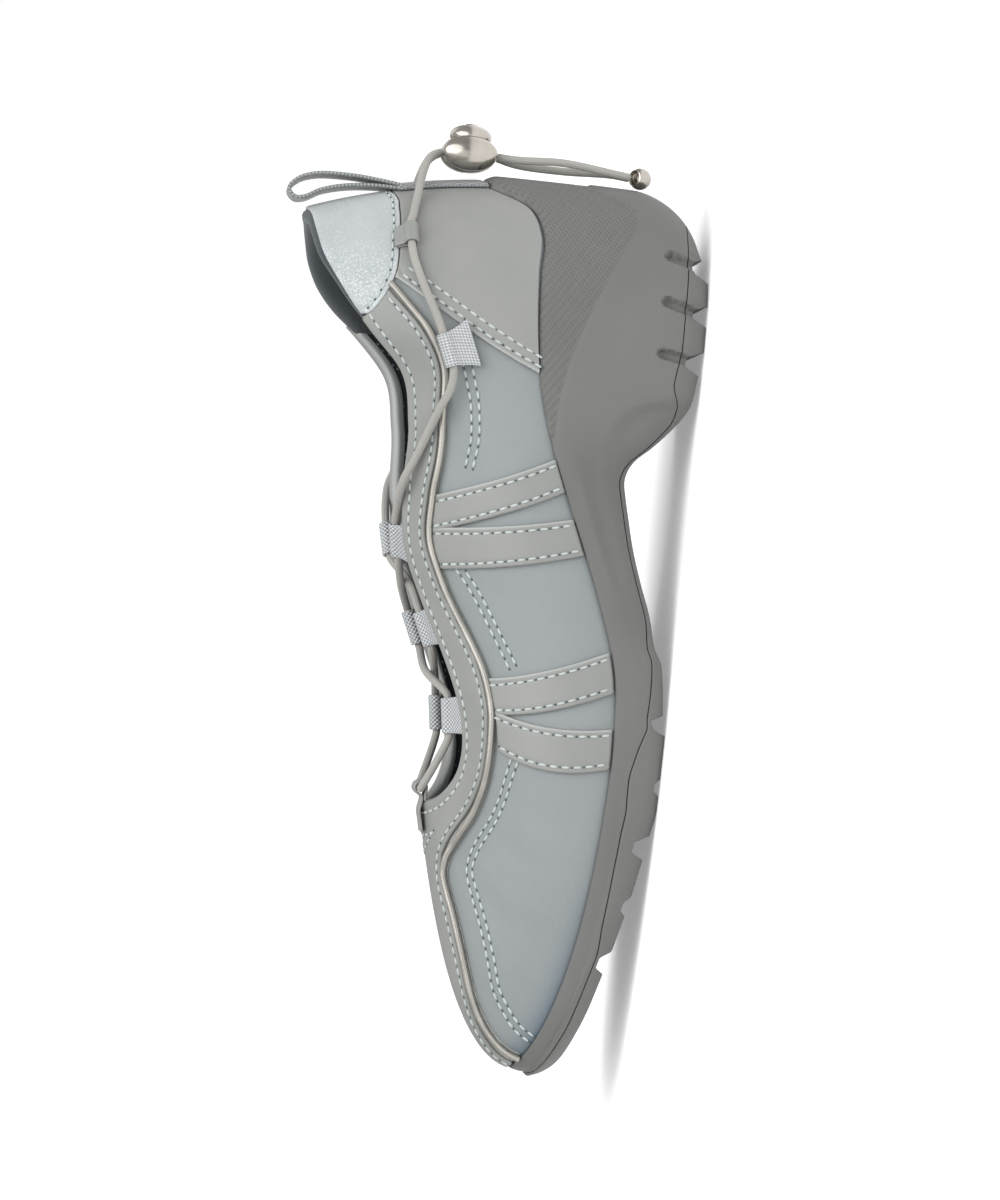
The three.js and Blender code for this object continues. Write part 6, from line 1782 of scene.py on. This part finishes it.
hole = node(sewing, "GeometryNodeSetMaterial", {"Geometry": hole, "Material": hole_shade_finish}).outputs[0]
one = node(sewing, "GeometryNodeJoinGeometry")
sewing.links.new(thread, one.inputs[0])
sewing.links.new(hole, one.inputs[0])
tangent = node(sewing, "GeometryNodeInputTangent").outputs[0]
facing = node(sewing, "GeometryNodeInputNamedAttribute", {"Name": "facing"}, data_type="FLOAT_VECTOR")
lined = node(sewing, "FunctionNodeAlignRotationToVector", {"Vector": tangent}, axis="X").outputs[0]
lined = node(sewing, "FunctionNodeAlignRotationToVector",
             {"Rotation": lined, "Vector": facing.outputs[0]}, axis="Z", pivot_axis="X").outputs[0]
placing = node(sewing, "GeometryNodeInstanceOnPoints",
               {"Points": resample.outputs[0], "Instance": one.outputs[0], "Rotation": lined}).outputs[0]
whole = node(sewing, "GeometryNodeRealizeInstances", {0: placing}).outputs[0]
smooth = node(sewing, "GeometryNodeSetShadeSmooth", {0: whole}).outputs[0]
node(sewing, "NodeGroupOutput", {0: smooth})
modifier = rows_object.modifiers.new("stitching", "NODES")
modifier.node_group = sewing
seen = rows_object.evaluated_get(bpy.context.evaluated_depsgraph_get())
stitches = shown("stitches", bpy.data.meshes.new_from_object(seen))
stitches.data.name = "stitches"
bpy.data.objects.remove(rows_object)
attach(stitches, "shoe")

# Webbing loops, keepers and heel pull
# Straps folded round the lace. Six loops of silver basket weave come out from under the throat's
# edge, and two of lattice weave hold it to the sides; two flat leather keepers come from under the
# patch; a ribbed tape runs up the heel and stands over the collar as a pull.
WEBBING = 0.8
LOOP_FLARE = 1.2
SIDE_FLARE = 4.5
TAPE_WIDTH = 16
TAPE_HALF = 0.0365
WEB_PALE = tint(206, 209, 211)
WEB_GAP = tint(134, 138, 141)
LATTICE_GAP = tint(150, 153, 156)
TAPE_PALE = tint(158, 161, 161)
TAPE_DARK = tint(118, 121, 121)


def woven(name, pale, dark, warp, weft, depth):
    """A strap woven from bright yarns with dark gaps between them."""
    made, tree, shader = finish_for(name, 0.45, Sheen_Weight=0.15)
    chart = map_of(tree)
    yarns = placed(tree, weave, {"Map": chart, "Warp": warp, "Weft": weft})["Height"]
    shade = spread(tree, yarns, 0.25, 0.7)
    coloured(tree, shader, shade, dark, pale)
    tree.links.new(maths(tree, "MULTIPLY", shade, 0.3), shader["Metallic"])
    raised(tree, shader, yarns, depth, 0.9)
    return made


web_finish = woven("silver_webbing", WEB_PALE, WEB_GAP, (800, 0, 0), (0, 800, 0), 0.0003)
lattice_finish = woven("lattice_webbing", WEB_PALE, LATTICE_GAP, (560, 560, 0), (560, -560, 0), 0.0004)
tape_finish = woven("ribbed_tape", TAPE_PALE, TAPE_DARK, (900, 0, 0), (0, 260, 0), 0.0003)


def folded_strap(name, centre, way, tail_end, width, flare, thick, finish):
    """A strap from its tail round the lace and back to its tail."""
    way = unit(way)
    tail = tail_end - centre
    toward = tail - way * (tail @ way)
    reach = np.linalg.norm(toward)
    toward = toward / reach
    over = np.cross(way, toward)
    ring = LACE_RADIUS + 0.18 + thick / 2
    turns = np.radians(np.linspace(62, 298, 20))
    flat = [(reach, thick * 0.56), (reach * 0.7 + ring * 0.3, thick * 0.6), (ring * 1.15, thick * 0.85)]
    points = flat + [(ring * math.cos(turn), ring * math.sin(turn)) for turn in turns]
    points += [(x, -y) for x, y in flat[::-1]]
    points = np.array([centre + toward * x + over * y for x, y in points])
    path = even_path(smooth_path(points, 4), 0.42)
    away = np.clip(((path - centre) @ toward) / reach, 0, 1)
    form = Form(name)
    strap(form, path, way, width + flare * away ** 1.5, thick)
    return form.make(finish)


for row, place in enumerate(LACE_THROAT["at"]):
    if place:
        side = LACE_THROAT["side"][row]
        name = LACE_THROAT["name"][row]
        root = off_wall(place_on(side, place), 1.0, -0.5)
        centre, way = throat_point(row), throat_way(row)
        loop = folded_strap("loop_" + name, centre, way, root, LOOP_WIDTH, LOOP_FLARE, WEBBING, web_finish)
        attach(loop, "shoe")
        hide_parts("throat_loop_" + name)
for side, side_name in ((1, "lateral"), (-1, "medial")):
    for row, hold in enumerate(LACE_RUN["hold"]):
        if not hold:
            continue
        centre, way = held_row(row, side)
        at, up = place_on(side, LACE_RUN["at"][row]), LACE_RUN["up"][row]
        if hold == "keeper":
            root = off_wall(at, up + 0.075, FIT + LEATHER + 0.25)
            name = "keeper_strap_" + side_name
            loop = folded_strap(name, centre, way, root, KEEPER_WIDTH, 0, WEBBING, leather_finish)
        else:
            root = off_wall(at, up - 0.17, deep + FIT + 0.3)
            name = "side_strap_" + side_name
            loop = folded_strap(name, centre, way, root, SIDE_LOOP_WIDTH, SIDE_FLARE, WEBBING, lattice_finish)
        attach(loop, "shoe")
        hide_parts("%s_%s" % (hold, side_name))

# Heel pull: the tape on the heel, then the loop that stands over the collar
tape_at = np.linspace(-TAPE_HALF, TAPE_HALF, 33)[:, None]
tape_up = np.linspace(COVER_LOW, 0.5, 60)[None, :]
near_edge = np.clip((1 - np.abs(tape_at) / TAPE_HALF) * TAPE_WIDTH, 0, 1)
thick_here = HEEL_TAPE * (0.5 + 0.5 * np.sqrt(1 - (1 - near_edge) ** 2))
face = off_wall(tape_at, tape_up, deep + FIT + thick_here)
back = off_wall(tape_at, tape_up, deep + FIT)
form = Form("pull_tape")
form.patch(face)
form.patch(back)
rims(form, face, back)
root = off_wall(0.0, 0.5, deep + FIT + HEEL_TAPE / 2)
tall = HEEL_SEAT + COLLAR_DEPTH - root[2]
# The pull's path from the tape, over the collar and down behind it: along and up in millimetres,
# and up as a share of the height from the tape's end to the collar
PULL = ((0.2, -5, 0), (-0.9, 0, 0.2), (-1.3, 0, 0.55), (-0.6, 0, 0.95), (1.6, 0, 1.16), (4.6, 0, 1.25),
        (6.9, 0, 1.17), (6.6, 0, 1.05), (4.0, 0, 0.86), (1.9, 0, 0.56), (0.9, 0, 0.2), (0.9, -3, 0))
route = [(root[0] + x, 0.0, root[2] + z + share * tall) for x, z, share in PULL]
path = even_path(smooth_path(route, 10), 0.8)
strap(form, path, np.array([0.0, 1.0, 0.0]), TAPE_WIDTH, WEBBING * 1.4)
pull = form.make(tape_finish)
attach(pull, "shoe")
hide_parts("heel_pull")

# Cord lock
# A small cast nugget of satin nickel: two smooth lobes with the cords passing between them, and a
# domed button on its back that is pressed in to free the cords.
LOCK_WIDTH = 19.8
BUTTON_WIDTH = 12.6
BUTTON_DEPTH = 4.6
BUTTON_TRAVEL = 2.5

deep_x = LOCK_DEPTH / 2
lobe = np.array([deep_x, LOCK_WIDTH * 0.24, LOCK_HEIGHT / 2])
bridge = np.array([deep_x * 0.82, LOCK_WIDTH * 0.36, LOCK_HEIGHT / 2 * 0.86])


def reach_of(way, middle, size):
    """How far a line from the origin goes before it leaves an ellipsoid, or nothing."""
    a = ((way / size) ** 2).sum(-1)
    b = (way / size * (middle / size)).sum(-1)
    c = ((middle / size) ** 2).sum() - 1
    inside = b * b - a * c
    return np.where(inside > 0, (b + np.sqrt(np.maximum(inside, 0))) / a, 0.01)


turn = np.linspace(0, 2 * math.pi, 97)[:-1, None]
tilt = np.linspace(0, math.pi, 61)[None, :]
way = np.stack([np.sin(tilt) * np.cos(turn), np.sin(tilt) * np.sin(turn), np.cos(tilt) + 0 * turn], -1)
parts = [
    reach_of(way, np.array([0, LOCK_WIDTH / 2 - lobe[1], 0]), lobe),
    reach_of(way, np.array([0, lobe[1] - LOCK_WIDTH / 2, 0]), lobe),
    reach_of(way, np.array([-deep_x * 0.1, 0, 0]), bridge),
]
reach_out = (sum(np.maximum(part, 0.01) ** 14 for part in parts)) ** (1 / 14)
reach_out = np.minimum(reach_out, np.max(parts, axis=0) + 0.5)
groove = 0.14 * np.exp(-(way[..., 1] / 0.2) ** 2) * np.clip(np.abs(way[..., 2]) * 2 - 0.8, 0, 1)
form = Form("lock_casting")
form.patch(way * (reach_out * (1 - groove))[..., None] + lock, wrap=True)
casting = form.make(metal_finish)

pocket = bmesh.new()
pocket_radius = (BUTTON_WIDTH / 2 + FIT) * MM
bmesh.ops.create_cone(pocket, cap_ends=True, segments=72, radius1=pocket_radius, radius2=pocket_radius,
                      depth=LOCK_DEPTH * MM)
pocket_mesh = bpy.data.meshes.new("pocket")
pocket.to_mesh(pocket_mesh)
pocket.free()
cutter = shown("pocket", pocket_mesh)
pocket_floor = lock[0] - deep_x * 0.25
pocket_place = Vector((pocket_floor - LOCK_DEPTH / 2 - ORIGIN_ALONG, lock[1], lock[2])) * MM
pocket_mesh.transform(Matrix.Rotation(math.radians(90), 4, "Y"))
pocket_mesh.transform(Matrix.Translation(pocket_place))
cutting = casting.modifiers.new("pocket", "BOOLEAN")
cutting.object = cutter
cutting.operation = "DIFFERENCE"
cutting.solver = "EXACT"
seen = casting.evaluated_get(bpy.context.evaluated_depsgraph_get())
cut_mesh = bpy.data.meshes.new_from_object(seen)
casting.modifiers.clear()
casting.data = cut_mesh
casting.data.set_sharp_from_angle(angle=math.radians(40))
bpy.data.objects.remove(cutter)
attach(casting, "shoe")
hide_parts("lock_body")

# Button: a dome with a shallow ring and a small boss on it
button_face = pocket_floor - BUTTON_TRAVEL - 0.5
wide = BUTTON_WIDTH / 2
dome = BUTTON_DEPTH - 1.2
profile = [(0, 0), (wide - 0.25, 0), (wide, 0.25), (wide, 1.2)]
for turn in np.linspace(0.06, math.pi / 2, 26):
    r, h = wide * math.cos(turn), 1.2 + dome * math.sin(turn)
    h += 0.25 * step_up(1.9 - r, 0.5) - 0.12 * math.exp(-((r - 2.5) / 0.35) ** 2)
    profile.append((max(r, 0.0), min(h, BUTTON_DEPTH + 0.25)))
points = lathed(profile, 65)
form = Form("button_dome")
form.patch(np.stack([button_face - points[..., 2], lock[1] + points[..., 0], lock[2] + points[..., 1]], -1))
button = form.make(metal_finish)
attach(button, "button")
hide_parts("lock_button")
